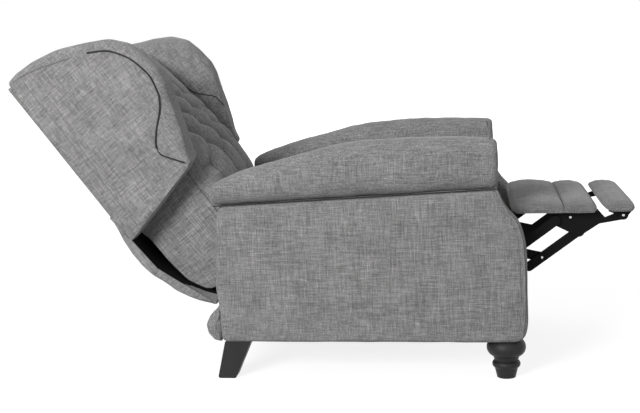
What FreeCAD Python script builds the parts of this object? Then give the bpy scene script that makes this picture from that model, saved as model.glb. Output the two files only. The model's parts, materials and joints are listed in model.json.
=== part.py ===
"""Power recliner with a winged, tufted back, shown reclined with its footrest out.

X runs forward from the back to the footrest, Y to the sitter's left, Z up from the floor.
The origin is on the floor, under the middle of the reclined chair.
"""
import FreeCAD, Part
import math
import os

import Sketcher
from FreeCAD import Placement, Rotation, Vector

SIZES = {
    # side panels
    "panel_inner": 262.0,
    "panel_rear": -256.0,
    "panel_front": 506.0,
    "panel_bottom": 97.0,
    "panel_front_shoulder": 363.0,
    "panel_top_front_x": 438.0,
    "panel_top_front": 477.0,
    "panel_top_rear": 443.0,
    "panel_toe_round": 22.0,
    "panel_toe_rise": 6.4,
    "panel_shoulder_rise": 7.0,
    "panel_shoulder_x": 461.0,
    "panel_shoulder_z": 425.0,
    "panel_rear_rise": 11.0,
    "panel_edge_round": 9.0,
    "panel_rim": 17.0,
    "frame_board": 28.0,
    "inner_cover": 11.0,
    "panel_padding": 44.0,
    "frame_window_x": 60.0,
    "frame_window_width": 250.0,
    "frame_window_height": 150.0,
    "frame_window_pitch": 330.0,
    # arm rolls
    "arm_inset": 45.0,
    "arm_half_width": 49.0,
    "arm_rear": -269.0,
    "arm_front": 437.0,
    "arm_crest_rear": 499.0,
    "arm_crest_slope": 560.0,
    "arm_crest_shoulder": 596.0,
    "arm_crest": 605.0,
    "arm_crest_front": 600.0,
    "arm_slope_x": -90.0,
    "arm_shoulder_x": 95.0,
    "arm_crest_x": 250.0,
    "arm_shoulder_inset": 14.0,
    "arm_front_round": 10.0,
    "arm_foot_inset": 6.0,
    "arm_crown": 22.0,
    # rails of the base
    "rail_board": 25.0,
    "rail_top": 150.0,
    "front_rail_x": 325.0,
    "rear_rail_x": -252.0,
    "rear_pad_top": 183.0,
    "rear_pad_depth": 31.0,
    "rear_pad_inset": 2.0,
    "rear_pad_gap": 5.0,
    "dust_cover": 2.5,
    # feet
    "front_foot_x": 456.0,
    "foot_inset": 45.0,
    "foot_base_radius": 23.0,
    "foot_ankle_radius": 29.0,
    "foot_ankle_height": 25.0,
    "foot_bead_rise": 6.0,
    "foot_bead_height": 18.0,
    "foot_neck_radius": 33.0,
    "foot_neck_height": 46.0,
    "foot_bulb_rise": 13.0,
    "foot_shoulder_radius": 38.0,
    "leg_toe_rear": -272.0,
    "leg_toe_front": -226.0,
    "leg_top_front": -183.0,
    "leg_top_rear": -250.0,
    "leg_width": 46.0,
    "leg_inset": 35.0,
    "leg_round": 5.0,
    # base rails
    "channel_outer": 254.0,
    "channel_height": 40.0,
    "channel_wall": 3.0,
    "channel_rear": -240.0,
    "channel_front": 345.0,
    # steel plates of the carriage and the footrest linkage
    "plate_inner": 215.0,
    "plate_thickness": 4.0,
    "plate_gap": 1.5,
    "plate_top": 332.0,
    "plate_belly": 205.0,
    "plate_foot_rear": -205.0,
    "plate_foot_front": 340.0,
    "plate_neck_x": -125.0,
    "plate_throat_x": -160.0,
    "plate_throat_z": 290.0,
    "plate_flange": 36.0,
    "back_pivot_x": -190.0,
    "back_pivot_z": 340.0,
    "pivot_boss": 14.0,
    "pin_radius": 5.0,
    "pin_play": 0.05,
    "pin_head_radius": 8.0,
    "pin_head": 1.0,
    "pin_head_gap": 0.1,
    "front_pivot_x": 399.0,
    "front_pivot_z": 318.0,
    "rear_pivot_x": 373.0,
    "rear_pivot_z": 289.0,
    "elbow_front_x": 549.0,
    "elbow_front_z": 285.0,
    "elbow_rear_x": 470.0,
    "elbow_rear_z": 298.0,
    "footrest_front_x": 640.0,
    "footrest_front_z": 352.0,
    "footrest_rear_x": 582.0,
    "footrest_rear_z": 381.0,
    "link_half_width": 12.0,
    "link_tail": 40.0,
    "open_pivot_play": 2.0,
    "tube_radius": 12.5,
    "tube_wall": 2.0,
    "rear_tube_x": -152.0,
    "rear_tube_z": 205.0,
    "front_tube_x": 300.0,
    "front_tube_z": 300.0,
    "crank_half_width": 15.0,
    "crank_thickness": 6.0,
    "crank_hub_radius": 21.0,
    "crank_drop": 60.0,
    "crank_slot_half_width": 8.3,
    "crank_slot_length": 22.0,
    "crank_angle": -51.7,
    # powered drive
    "motor_radius": 34.0,
    "motor_length": 90.0,
    "motor_rear_x": -140.0,
    "gearbox_length": 62.0,
    "gearbox_half_width": 38.0,
    "gearbox_half_height": 34.0,
    "drive_tube_radius": 16.0,
    "drive_tube_front": 300.0,
    "drive_rod_radius": 10.0,
    "drive_rod_rear": 130.0,
    "inlet_x": -180.0,
    "inlet_across": 180.0,
    "inlet_size": 26.0,
    "fork_gap": 10.0,
    "fork_ear": 5.0,
    "fork_half_height": 12.0,
    "fork_length": 56.0,
    # seat
    "seat_frame_half_width": 232.0,
    "seat_frame_rear": -122.0,
    "seat_frame_front": 446.0,
    "seat_frame_height": 27.0,
    "seat_frame_bar": 24.0,
    "seat_rear": -190.0,
    "seat_front": 462.0,
    "seat_side": 428.0,
    "seat_crown": 46.0,
    "seat_half_width": 245.0,
    "seat_end_round": 14.0,
    "spring_wire": 2.0,
    "spring_turns": 8.0,
    "spring_count": 4.0,
    "spring_pitch": 84.0,
    "spring_half_width": 26.0,
    # back, measured up the back and forward of its outside panel
    "back_tilt": 37.05,
    "back_foot_x": -294.5,
    "back_foot_z": 111.0,
    "core_half_width": 241.7,
    "core_foot": 84.0,
    "core_top": 798.0,
    "core_top_front": 748.0,
    "core_top_rise": 10.0,
    "core_rear": 0.2,
    "core_front": 200.0,
    "back_frame_inset": 42.0,
    "back_frame_half_width": 200.0,
    "back_frame_depth": 22.0,
    "core_rear_foot": 58.0,
    "cushion_foot": 232.0,
    "cushion_top": 722.0,
    "cushion_foot_edge": 62.0,
    "cushion_top_edge": 26.0,
    "cushion_crown": 84.0,
    "cushion_crown_height": 385.0,
    "cushion_side_share": 0.45,
    "cushion_half_width": 236.0,
    "tuft_radius": 50.0,
    "tuft_bottom_radius": 5.0,
    "tuft_depth": 26.0,
    "tuft_pitch_across": 116.0,
    "tuft_pitch_up": 58.0,
    "tuft_first": 344.0,
    "tuft_rows": 5.0,
    "tuft_columns": 4.0,
    "pleat_radius": 8.0,
    "pleat_overrun": 8.0,
    "wing_outer": 330.0,
    "wing_foot_rear": 308.0,
    "wing_foot_front": 358.0,
    "wing_top_rear": 811.0,
    "wing_crest": 700.0,
    "wing_crest_depth": 308.0,
    "wing_top_rise": 34.0,
    "wing_brow": 545.0,
    "wing_brow_depth": 315.0,
    "wing_brow_rise": 19.0,
    "wing_waist": 402.0,
    "wing_waist_depth": 252.0,
    "wing_foot_depth": 243.0,
    "wing_round": 22.0,
    "wing_corner_round": 40.0,
    "outside_panel": 7.0,
    "outside_half_width": 324.0,
    "outside_foot": 306.0,
    "flap_thickness": 11.0,
    "flap_foot": 52.0,
    "flap_foot_depth": 62.0,
    "flap_lap": 35.0,
    "flap_rise": 17.0,
    "flap_foot_rise": 9.0,
    "flap_knee": 175.0,
    "bracket_foot": 90.0,
    "bracket_head": 185.0,
    # footrest
    "board_bottom": 403.0,
    "board_thickness": 9.0,
    "board_rear": 482.0,
    "board_front": 678.0,
    "board_half_width": 238.0,
    "pad_half_width": 250.0,
    "pad_wall": 14.0,
    "pad_crown": 12.0,
    "pad_end_round": 4.0,
    "pad_rear": 470.0,
    "pad_seam": 603.0,
    "pad_front": 686.0,
    "flipper_pivot_x": 748.0,
    "flipper_pivot_z": 393.0,
    "flipper_rear": 702.0,
    "flipper_front": 778.0,
    "flipper_crown": 7.0,
    "flipper_board_rise": 2.5,
    "flipper_board_inset": 10.0,
    "plate_arm_top": 387.0,
    "plate_arm_bottom": 371.0,
    "plate_arm_x": 690.0,
    # control on the sitter's left side
    "control_x": 250.0,
    "control_z": 400.0,
    "control_length": 84.0,
    "control_height": 34.0,
    "control_flange": 1.5,
    "control_lip": 4.0,
    "control_depth": 18.0,
    "button_radius": 10.0,
    "button_play": 0.3,
    "button_pitch": 38.0,
    "button_proud": 2.0,
    "button_travel": 2.0,
    "button_length": 10.0,
    # clearances
    "seat_gap": 0.3,
    # shares
    "half_share": 0.5,
    "outer_share": 0.84,
    "inner_share": 0.52,
}
DOC = FreeCAD.newDocument("recliner")
SHEET = DOC.addObject("Spreadsheet::Sheet", "Sizes")
NODES = []


class Size:
    """A number together with the sheet expression that gives it."""

    def __init__(self, number, text):
        self.number = number
        self.text = text

    def join(self, other, sign, number, swap=False):
        first, second = (text_of(other), self.text) if swap else (self.text, text_of(other))
        return Size(number, "(%s %s %s)" % (first, sign, second))

    def __add__(self, other):
        return self.join(other, "+", self.number + number_of(other))

    def __sub__(self, other):
        return self.join(other, "-", self.number - number_of(other))

    def __mul__(self, other):
        return self.join(other, "*", self.number * number_of(other))

    def __truediv__(self, other):
        return self.join(other, "/", self.number / number_of(other))

    def __radd__(self, other):
        return self.join(other, "+", number_of(other) + self.number, True)

    def __rsub__(self, other):
        return self.join(other, "-", number_of(other) - self.number, True)

    def __neg__(self):
        return Size(-self.number, "(-1 * %s)" % self.text)

    __rmul__ = __mul__


def number_of(value):
    return value.number if isinstance(value, Size) else float(value)


def text_of(value):
    return value.text if isinstance(value, Size) else repr(float(value))


class Sizes:
    """Every named size as an attribute."""


S = Sizes()
ZERO = Size(0.0, "0")


def fill_sheet():
    for row, (name, value) in enumerate(SIZES.items(), start=1):
        SHEET.set("A%d" % row, name)
        SHEET.set("B%d" % row, repr(value))
        SHEET.setAlias("B%d" % row, name)
        setattr(S, name, Size(value, "Sizes." + name))
    DOC.recompute()


def derive_sizes():
    """Sizes that follow from the pieces they belong to."""
    S.panel_outer = S.panel_inner + S.inner_cover + S.frame_board + S.panel_padding
    S.arm_middle = S.panel_outer - S.arm_inset
    S.foot_middle = S.panel_outer - S.foot_inset
    S.leg_middle = S.panel_outer - S.leg_inset
    S.rear_pad_half_width = S.panel_outer - S.rear_pad_inset
    S.seat_crest = S.seat_side + S.seat_crown
    S.wing_inner = S.core_half_width + S.seat_gap
    S.outside_top = S.wing_top_rear
    S.pad_side = S.board_bottom + S.pad_wall
    S.pad_crest = S.pad_side + S.pad_crown
    S.flipper_bottom = S.board_bottom + S.flipper_board_rise
    S.flipper_side = S.flipper_bottom + S.pad_wall
    S.flipper_crest = S.flipper_side + S.flipper_crown


def bind(item, place, value):
    item.setExpression(place, text_of(value))


def keep(item):
    """Hand the object over as a node of its own."""
    NODES.append(item)
    return item


# sketches


def new_body(label):
    body = DOC.addObject("PartDesign::Body", label)
    body.Label = label
    return body


def plane_of(body, role):
    for item in body.Origin.OriginFeatures:
        if item.Role == role:
            return item
    raise ValueError(role)


def new_sketch(body, name, role, offset):
    sketch = body.newObject("Sketcher::SketchObject", body.Name + name)
    sketch.AttachmentSupport = [(plane_of(body, role), "")]
    sketch.MapMode = "FlatFace"
    sketch.AttachmentOffset = Placement(Vector(0, 0, number_of(offset)), Rotation())
    bind(sketch, "AttachmentOffset.Base.z", offset)
    return sketch


def hold(sketch, geometry, end, place):
    """Fix one end of a line or arc, or a centre, at the place on both axes."""
    for axis, value in zip("XY", place):
        if number_of(value) == 0.0:
            datum = -2 if axis == "X" else -1
            sketch.addConstraint(Sketcher.Constraint("PointOnObject", geometry, end, datum))
            continue
        limit = Sketcher.Constraint("Distance" + axis, -1, 1, geometry, end, number_of(value))
        index = sketch.addConstraint(limit)
        bind(sketch, "Constraints[%d]" % index, value)


def arc_between(start, end, rise):
    """An arc from start to end that rises to the left of the way when rise is above zero."""
    way = end - start
    left = Vector(-way.y, way.x, 0).normalize()
    middle = (start + end) * 0.5 + left * rise
    return Part.Arc(start, middle, end)


def arc_radius(start, end, rise):
    across = end[0] - start[0]
    along = end[1] - start[1]
    return ((across * across + along * along) / 4 + rise * rise) / (2 * rise)


def ends_of(sketch, index, start):
    """The number of the end that lies at the start, and that of the other end."""
    first = sketch.getPoint(index, 1)
    return (1, 2) if (first - start).Length < 1e-6 else (2, 1)


def draw_outline(sketch, corners):
    """A closed outline; a corner's third value is the rise of the stretch that leaves it."""
    spots = [Vector(number_of(corner[0]), number_of(corner[1]), 0) for corner in corners]
    ends = []
    for index, corner in enumerate(corners):
        start, end = spots[index], spots[(index + 1) % len(spots)]
        if len(corner) == 3:
            curve = arc_between(start, end, number_of(corner[2]))
        else:
            curve = Part.LineSegment(start, end)
        geometry = sketch.addGeometry(curve, False)
        ends.append((geometry,) + ends_of(sketch, geometry, start))
    for index, corner in enumerate(corners):
        geometry, first, last = ends[index]
        following, entry, _ = ends[(index + 1) % len(ends)]
        sketch.addConstraint(Sketcher.Constraint("Coincident", geometry, last, following, entry))
        hold(sketch, geometry, first, corner[:2])
        if len(corner) == 3:
            rise = corner[2] if number_of(corner[2]) > 0 else -corner[2]
            radius = arc_radius(corner, corners[(index + 1) % len(corners)], rise)
            limit = Sketcher.Constraint("Radius", geometry, number_of(radius))
            bind(sketch, "Constraints[%d]" % sketch.addConstraint(limit), radius)


def draw_circle(sketch, centre, radius):
    spot = Vector(number_of(centre[0]), number_of(centre[1]), 0)
    circle = Part.Circle(spot, Vector(0, 0, 1), number_of(radius))
    geometry = sketch.addGeometry(circle, False)
    hold(sketch, geometry, 3, centre)
    limit = Sketcher.Constraint("Radius", geometry, number_of(radius))
    bind(sketch, "Constraints[%d]" % sketch.addConstraint(limit), radius)


def draw_slot(sketch, start, end, radius):
    """A slot along the first axis, with its round ends centred at start and end."""
    left, right = number_of(start), number_of(end)
    size = number_of(radius)
    ends = ((left, math.pi / 2, 3 * math.pi / 2), (right, -math.pi / 2, math.pi / 2))
    arcs = []
    for middle, begin, finish in ends:
        circle = Part.Circle(Vector(middle, 0, 0), Vector(0, 0, 1), size)
        arcs.append(sketch.addGeometry(Part.ArcOfCircle(circle, begin, finish), False))
    top = Part.LineSegment(Vector(right, size, 0), Vector(left, size, 0))
    bottom = Part.LineSegment(Vector(left, -size, 0), Vector(right, -size, 0))
    upper = sketch.addGeometry(top, False)
    lower = sketch.addGeometry(bottom, False)
    rear, front = arcs
    joins = ((upper, 1, front, 2), (upper, 2, rear, 1), (lower, 1, rear, 2), (lower, 2, front, 1))
    for join in joins:
        sketch.addConstraint(Sketcher.Constraint("Tangent", *join))
    sketch.addConstraint(Sketcher.Constraint("Equal", rear, front))
    hold(sketch, rear, 3, (start, ZERO))
    limit = Sketcher.Constraint("DistanceX", -1, 1, front, 3, right)
    bind(sketch, "Constraints[%d]" % sketch.addConstraint(limit), end)
    limit = Sketcher.Constraint("Radius", rear, size)
    bind(sketch, "Constraints[%d]" % sketch.addConstraint(limit), radius)


# solids of a body


def extrude(body, sketch, length, kind="Pad"):
    feature = body.newObject("PartDesign::" + kind, sketch.Name + kind)
    feature.Profile = sketch
    feature.Length = abs(number_of(length))
    bind(feature, "Length", length)
    if kind == "Pocket":
        feature.Reversed = True
    sketch.Visibility = False
    body.Tip = feature
    return feature


def add_outline(body, name, role, corners, start, end, kind="Pad"):
    sketch = new_sketch(body, name, role, start)
    draw_outline(sketch, corners)
    return extrude(body, sketch, end - start, kind)


def add_ring(body, name, role, outlines, start, end, kind="Pad"):
    """Several outlines in one sketch: the first is the outside, the others are left out."""
    sketch = new_sketch(body, name, role, start)
    for corners in outlines:
        draw_outline(sketch, corners)
    return extrude(body, sketch, end - start, kind)


def add_circle(body, name, role, centre, radius, start, end, kind="Pad"):
    sketch = new_sketch(body, name, role, start)
    draw_circle(sketch, centre, radius)
    return extrude(body, sketch, end - start, kind)


def add_slot(body, name, role, ends, radius, start, end, kind="Pad"):
    sketch = new_sketch(body, name, role, start)
    draw_slot(sketch, ends[0], ends[1], radius)
    return extrude(body, sketch, end - start, kind)


def box_corners(left, right, bottom, top):
    return [(left, bottom), (right, bottom), (right, top), (left, top)]


def add_box(body, name, left, right, bottom, top, inner, outer, kind="Pad"):
    """A block whose side view is given; inner and outer run to the sitter's right."""
    return add_outline(body, name, "XZ_Plane", box_corners(left, right, bottom, top),
                       inner, outer, kind)


def edges_along(shape, axis):
    """The names of the straight edges that run along the axis."""
    names = []
    for index, edge in enumerate(shape.Edges, start=1):
        if edge.Curve.TypeId != "Part::GeomLine":
            continue
        way = edge.tangentAt(edge.FirstParameter)
        if abs(abs(way.dot(axis)) - 1) < 1e-6:
            names.append("Edge%d" % index)
    return names


def round_edges(body, radius, axis):
    DOC.recompute()
    solid = body.Tip
    fillet = body.newObject("PartDesign::Fillet", body.Name + "Round")
    fillet.Base = (solid, edges_along(solid.Shape, axis))
    fillet.Radius = number_of(radius)
    bind(fillet, "Radius", radius)
    body.Tip = fillet


def edges_at(shape, level, upright=True):
    """The names of the edges that lie at one place across the chair."""
    names = []
    for index, edge in enumerate(shape.Edges, start=1):
        box = edge.BoundBox
        if max(abs(box.YMin - level), abs(box.YMax - level)) > 1e-6:
            continue
        if upright or box.XLength > 1e-6:
            names.append("Edge%d" % index)
    return names


def round_outside(body, radius, outer, upright=True):
    """Round the edges of the face that looks outwards."""
    DOC.recompute()
    solid = body.Tip
    fillet = body.newObject("PartDesign::Fillet", body.Name + "Soft")
    fillet.Base = (solid, edges_at(solid.Shape, -outer.number, upright))
    fillet.Radius = number_of(radius)
    bind(fillet, "Radius", radius)
    body.Tip = fillet


def round_corners(body, radius, clear):
    """Round the corners of an outline that lie further forward than the clear place."""
    DOC.recompute()
    solid = body.Tip
    names = [name for name in edges_along(solid.Shape, Vector(0, 1, 0))
             if solid.Shape.getElement(name).BoundBox.XMin > clear.number]
    fillet = body.newObject("PartDesign::Fillet", body.Name + "Corners")
    fillet.Base = (solid, names)
    fillet.Radius = number_of(radius)
    bind(fillet, "Radius", radius)
    body.Tip = fillet


def mirrored(label, source):
    copy = DOC.addObject("Part::Mirroring", label)
    copy.Label = label
    copy.Source = source
    copy.Normal = Vector(0, 1, 0)
    return copy


def both_sides(name, source):
    """Keep the right piece and its mirror image on the left."""
    source.Label = "right_" + name
    keep(source)
    return keep(mirrored("left_" + name, source))


def pair(label, source):
    """Keep the right piece and its mirror image as one node of two solids."""
    source.Label = source.Name + "_piece"
    return grouped(label, [source, mirrored(label + "_mirror", source)])


def grouped(label, members):
    group = DOC.addObject("Part::Compound", label)
    group.Label = label
    group.Links = members
    return keep(group)


def place(item, along, up, turn=0.0):
    item.Placement = Placement(Vector(number_of(along), 0, number_of(up)),
                               Rotation(Vector(0, 1, 0), turn))
    bind(item, "Placement.Base.x", along)
    bind(item, "Placement.Base.z", up)
    return item


# seat side: panels, arms, rails and feet


def panel_outline():
    return [
        (S.panel_rear, S.panel_bottom),
        (S.panel_front - S.panel_toe_round, S.panel_bottom, -S.panel_toe_rise),
        (S.panel_front, S.panel_bottom + S.panel_toe_round),
        (S.panel_front, S.panel_front_shoulder, -S.panel_shoulder_rise),
        (S.panel_shoulder_x, S.panel_shoulder_z),
        (S.panel_top_front_x, S.panel_top_front),
        (S.panel_rear, S.panel_top_rear, -S.panel_rear_rise),
        (S.panel_rear, S.rear_pad_top + S.rear_pad_gap),
    ]


def inset_outline(inset):
    """The outline of the board inside a side panel."""
    return [
        (S.panel_rear + inset, S.panel_bottom + inset),
        (S.panel_front - inset, S.panel_bottom + inset),
        (S.panel_front - inset, S.panel_front_shoulder - inset),
        (S.panel_top_front_x - inset, S.panel_top_front - inset - inset),
        (S.panel_rear + inset, S.panel_top_rear - inset - inset),
    ]


def frame_windows(trim):
    """The windows of the board inside a side panel, each smaller by the trim all round."""
    windows = []
    for index in range(2):
        left = S.panel_rear + S.frame_window_x + S.frame_window_pitch * index
        bottom = S.panel_bottom + S.frame_window_x
        windows.append(box_corners(left + trim, left + S.frame_window_width - trim,
                                   bottom + trim, bottom + S.frame_window_height - trim))
    return windows


def make_side_panels():
    board_start = S.panel_inner + S.inner_cover
    board_end = board_start + S.frame_board
    panel = new_body("right_side_panel")
    add_outline(panel, "Skin", "XZ_Plane", panel_outline(), board_start, S.panel_outer)
    add_ring(panel, "Hollow", "XZ_Plane",
             [inset_outline(S.panel_rim)] + frame_windows(S.seat_gap), board_start,
             board_end + S.seat_gap, "Pocket")
    round_outside(panel, S.panel_edge_round, S.panel_outer)
    keep(panel)
    copy = mirrored("left_panel_blank", panel)
    keep(with_control_opening(copy))
    board = new_body("right_side_frame")
    inset = S.panel_rim + S.seat_gap
    add_ring(board, "Board", "XZ_Plane", [inset_outline(inset)] + frame_windows(ZERO),
             board_start, board_end)
    pair("side_frames", board)
    cover = new_body("right_inner_panel")
    add_outline(cover, "Cover", "XZ_Plane", panel_outline(), S.panel_inner,
                board_start - S.seat_gap)
    pair("inner_panels", cover)


def with_control_opening(panel):
    """Cut the opening of the control into the left panel."""
    tool = DOC.addObject("Part::Box", "control_opening")
    length = S.control_length - 2 * S.control_lip + 2 * S.seat_gap
    height = S.control_height - 2 * S.control_lip + 2 * S.seat_gap
    for name, value in (("Length", length), ("Width", S.control_depth), ("Height", height)):
        bind(tool, name, value)
    bind(tool, "Placement.Base.x", S.control_x - length / 2)
    bind(tool, "Placement.Base.y", S.panel_outer - S.control_depth)
    bind(tool, "Placement.Base.z", S.control_z - height / 2)
    cut = DOC.addObject("Part::Cut", "left_side_panel")
    cut.Label = "left_side_panel"
    cut.Base = panel
    cut.Tool = tool
    return cut


def arm_section(along, bottom, crest):
    """One cross-section of the arm roll, drawn with four curves."""
    middle, half = -S.arm_middle.number, S.arm_half_width.number
    foot = half - S.arm_foot_inset.number
    shoulder = half - S.arm_shoulder_inset.number
    drop = crest - S.arm_crown.number
    belly = bottom + (drop - bottom) * S.half_share.number
    corner = [Vector(along, middle + side * foot, bottom) for side in (-1, 1)]
    top = [Vector(along, middle + side * shoulder, drop) for side in (-1, 1)]
    bulge = [Vector(along, middle + side * half, belly) for side in (-1, 1)]
    peak = Vector(along, middle, crest)
    edges = [
        Part.LineSegment(corner[0], corner[1]).toShape(),
        Part.Arc(corner[1], bulge[1], top[1]).toShape(),
        Part.Arc(top[1], peak, top[0]).toShape(),
        Part.Arc(top[0], bulge[0], corner[0]).toShape(),
    ]
    return Part.Wire(edges)


def make_arm_pads():
    stations = (
        (S.arm_rear, S.arm_crest_rear),
        (S.arm_slope_x, S.arm_crest_slope),
        (S.arm_shoulder_x, S.arm_crest_shoulder),
        (S.arm_crest_x, S.arm_crest),
        (S.arm_front, S.arm_crest_front),
    )
    span = S.panel_top_front_x.number - S.panel_rear.number
    rise = S.panel_top_front.number - S.panel_top_rear.number
    wires = []
    for along, crest in stations:
        share = (along.number - S.panel_rear.number) / span
        bottom = S.panel_top_rear.number + rise * share + S.seat_gap.number
        wires.append(arm_section(along.number, bottom, crest.number))
    roll = Part.makeLoft(wires, True, False)
    front = [edge for edge in roll.Edges
             if abs(edge.BoundBox.XMin - S.arm_front.number) < 1e-6]
    pad = DOC.addObject("Part::Feature", "right_arm_pad")
    pad.Shape = roll.makeFillet(S.arm_front_round.number, front)
    both_sides("arm_pad", pad)


def make_rails():
    width = S.panel_inner - S.seat_gap
    front = new_body("front_rail")
    bottom = S.panel_bottom + S.dust_cover + S.seat_gap
    add_box(front, "Board", S.front_rail_x, S.front_rail_x + S.rail_board, bottom,
            S.rail_top, -width, width)
    rear = new_body("rear_rail_board")
    add_box(rear, "Board", S.rear_rail_x, S.rear_rail_x + S.rail_board, bottom,
            S.rail_top, -width, width)
    grouped("base_cross_rails", [front, rear])
    pad = new_body("rear_rail")
    face = S.panel_rear - S.seat_gap
    corners = [(face, S.panel_bottom), (face, S.rear_pad_top, -S.rear_pad_depth)]
    add_outline(pad, "Roll", "XZ_Plane", corners, -S.rear_pad_half_width, S.rear_pad_half_width)
    keep(pad)
    cover = new_body("dust_cover")
    add_box(cover, "Cloth", S.rear_rail_x, S.front_rail_x + S.rail_board, S.panel_bottom,
            S.panel_bottom + S.dust_cover, -width, width)
    keep(cover)


def make_feet():
    foot = new_body("right_front_foot")
    ankle = S.foot_ankle_height
    bead = ankle + S.foot_bead_height
    neck = S.foot_neck_height + S.foot_bead_height * S.half_share
    top = S.panel_bottom - S.seat_gap
    corners = [
        (ZERO, ZERO),
        (S.foot_base_radius, ZERO),
        (S.foot_ankle_radius, ankle, -S.foot_bead_rise),
        (S.foot_ankle_radius, bead),
        (S.foot_neck_radius, neck, -S.foot_bulb_rise),
        (S.foot_shoulder_radius, top),
        (ZERO, top),
    ]
    sketch = new_sketch(foot, "Profile", "XZ_Plane", ZERO)
    draw_outline(sketch, corners)
    turned = foot.newObject("PartDesign::Revolution", "foot_turned")
    turned.Profile = sketch
    turned.ReferenceAxis = (sketch, ["V_Axis"])
    turned.Angle = 360
    foot.Tip = turned
    place(foot, S.front_foot_x, ZERO)
    bind(foot, "Placement.Base.y", -S.foot_middle)
    both_sides("front_foot", foot)
    leg = new_body("right_rear_leg")
    corners = [
        (S.leg_toe_rear, ZERO),
        (S.leg_toe_front, ZERO),
        (S.leg_top_front, top),
        (S.leg_top_rear, top),
    ]
    half = S.leg_width * S.half_share
    add_outline(leg, "Side", "XZ_Plane", corners, S.leg_middle - half, S.leg_middle + half)
    round_edges(leg, S.leg_round, Vector(0, 1, 0))
    both_sides("rear_leg", leg)


# steel mechanism


def spot(name):
    return getattr(S, name + "_x"), getattr(S, name + "_z")


def layer(index):
    """The inner and outer faces of a layer of plates; the carriage plate is layer 0."""
    step = S.plate_thickness + S.plate_gap
    inner = S.plate_inner + step * index
    return inner, inner + S.plate_thickness


def make_base_rails():
    rail = new_body("right_base_rail")
    inner = layer(0)[1] + S.seat_gap
    outer = S.channel_outer
    bottom = S.rail_top + S.seat_gap
    top = bottom + S.channel_height
    wall = S.channel_wall
    corners = [
        (-inner, bottom),
        (-inner, top),
        (-outer, top),
        (-outer, top - wall),
        (-inner - wall, top - wall),
        (-inner - wall, bottom + wall),
        (-outer, bottom + wall),
        (-outer, bottom),
    ]
    add_outline(rail, "Channel", "YZ_Plane", corners, S.channel_rear, S.channel_front)
    pair("base_rails", rail)


def make_carriage_plates():
    plate = new_body("right_carriage_plate")
    inner, outer = layer(0)
    boss = S.pivot_boss
    foot = S.rail_top + S.channel_wall
    corners = [
        (S.plate_foot_rear, foot),
        (S.plate_foot_front, foot),
        (S.rear_pivot_x, S.rear_pivot_z - boss),
        (S.front_pivot_x, S.front_pivot_z - boss),
        (S.front_pivot_x, S.plate_top),
        (S.plate_neck_x, S.plate_top),
        (S.back_pivot_x, S.back_pivot_z + boss),
        (S.back_pivot_x, S.back_pivot_z - boss),
        (S.plate_throat_x, S.plate_throat_z),
        (S.plate_foot_rear, S.plate_belly),
    ]
    add_outline(plate, "Side", "XZ_Plane", corners, inner, outer)
    for name in ("back_pivot", "front_pivot", "rear_pivot"):
        add_circle(plate, name + "_boss", "XZ_Plane", spot(name), boss, inner, outer)
    holes = ["back_pivot", "front_pivot", "rear_pivot", "front_tube", "rear_tube"]
    for name in holes:
        radius = S.tube_radius + S.seat_gap if name.endswith("tube") else S.pin_radius + S.pin_play
        add_circle(plate, name + "_hole", "XZ_Plane", spot(name), radius, inner, outer, "Pocket")
    both_sides("carriage_plate", plate)


def make_cross_tubes():
    half = layer(0)[1]
    tubes = []
    for name in ("front", "rear"):
        tube = new_body(name + "_cross_tube")
        centre = spot(name + "_tube")
        add_circle(tube, "Tube", "XZ_Plane", centre, S.tube_radius, -half, half)
        add_circle(tube, "Bore", "XZ_Plane", centre, S.tube_radius - S.tube_wall, -half, half,
                   "Pocket")
        tubes.append(tube)
    grouped("cross_tubes", tubes)


def bar(name, first, last, depth, tail=ZERO, play=ZERO):
    """A link with round ends, a hole at each pivot and a tail behind the first."""
    across = last[0] - first[0]
    rise = last[1] - first[1]
    square = across * across + rise * rise
    length = Size(math.sqrt(square.number), "sqrt(%s)" % square.text)
    link = new_body("right_" + name)
    inner, outer = layer(depth)
    add_slot(link, "Bar", "XZ_Plane", (-tail, length), S.link_half_width, inner, outer)
    radius = S.pin_radius + S.pin_play
    add_circle(link, "First", "XZ_Plane", (ZERO, ZERO), radius, inner, outer, "Pocket")
    add_circle(link, "Last", "XZ_Plane", (length, ZERO), radius + play, inner, outer, "Pocket")
    place(link, first[0], first[1], -math.degrees(math.atan2(rise.number, across.number)))
    both_sides(name, link)


def make_links():
    front, rear = spot("front_pivot"), spot("rear_pivot")
    low, high = spot("elbow_front"), spot("elbow_rear")
    bar("lower_inner_link", front, low, -2)
    bar("lower_outer_link", low, spot("footrest_front"), -1, S.link_tail)
    bar("upper_inner_link", rear, high, 1)
    bar("upper_outer_link", high, spot("footrest_rear"), 2, ZERO, S.open_pivot_play)


def rivet(label, centre, first, last):
    """A riveted pin through the layers from first to last, with a thin head at each end."""
    pin = new_body(label)
    inner = layer(first)[0] - S.pin_head
    outer = layer(last)[1] + S.pin_head
    add_circle(pin, "Shank", "XZ_Plane", centre, S.pin_radius, inner, outer)
    for name, start in (("Inner", inner), ("Outer", outer - S.pin_head + S.pin_head_gap)):
        end = start + S.pin_head - S.pin_head_gap
        add_circle(pin, name, "XZ_Plane", centre, S.pin_head_radius, start, end)
    return pin


def rivet_group(label, pins):
    members = []
    for index, (name, first, last) in enumerate(pins):
        pin = rivet("%s_%d" % (label, index), spot(name), first, last)
        members += [pin, mirrored(pin.Label + "_left", pin)]
    grouped(label, members)


def make_rivets():
    rivet_group("carriage_rivets", [("front_pivot", -2, 0), ("rear_pivot", 0, 1),
                                    ("back_pivot", 0, 1)])
    rivet_group("lower_link_rivets", [("elbow_front", -2, -1)])
    rivet_group("upper_link_rivets", [("elbow_rear", 1, 2)])
    rivet_group("ottoman_rivets", [("footrest_front", -1, 0), ("footrest_rear", 0, 2),
                                   ("flipper_pivot", 0, 1)])


# powered drive


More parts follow.
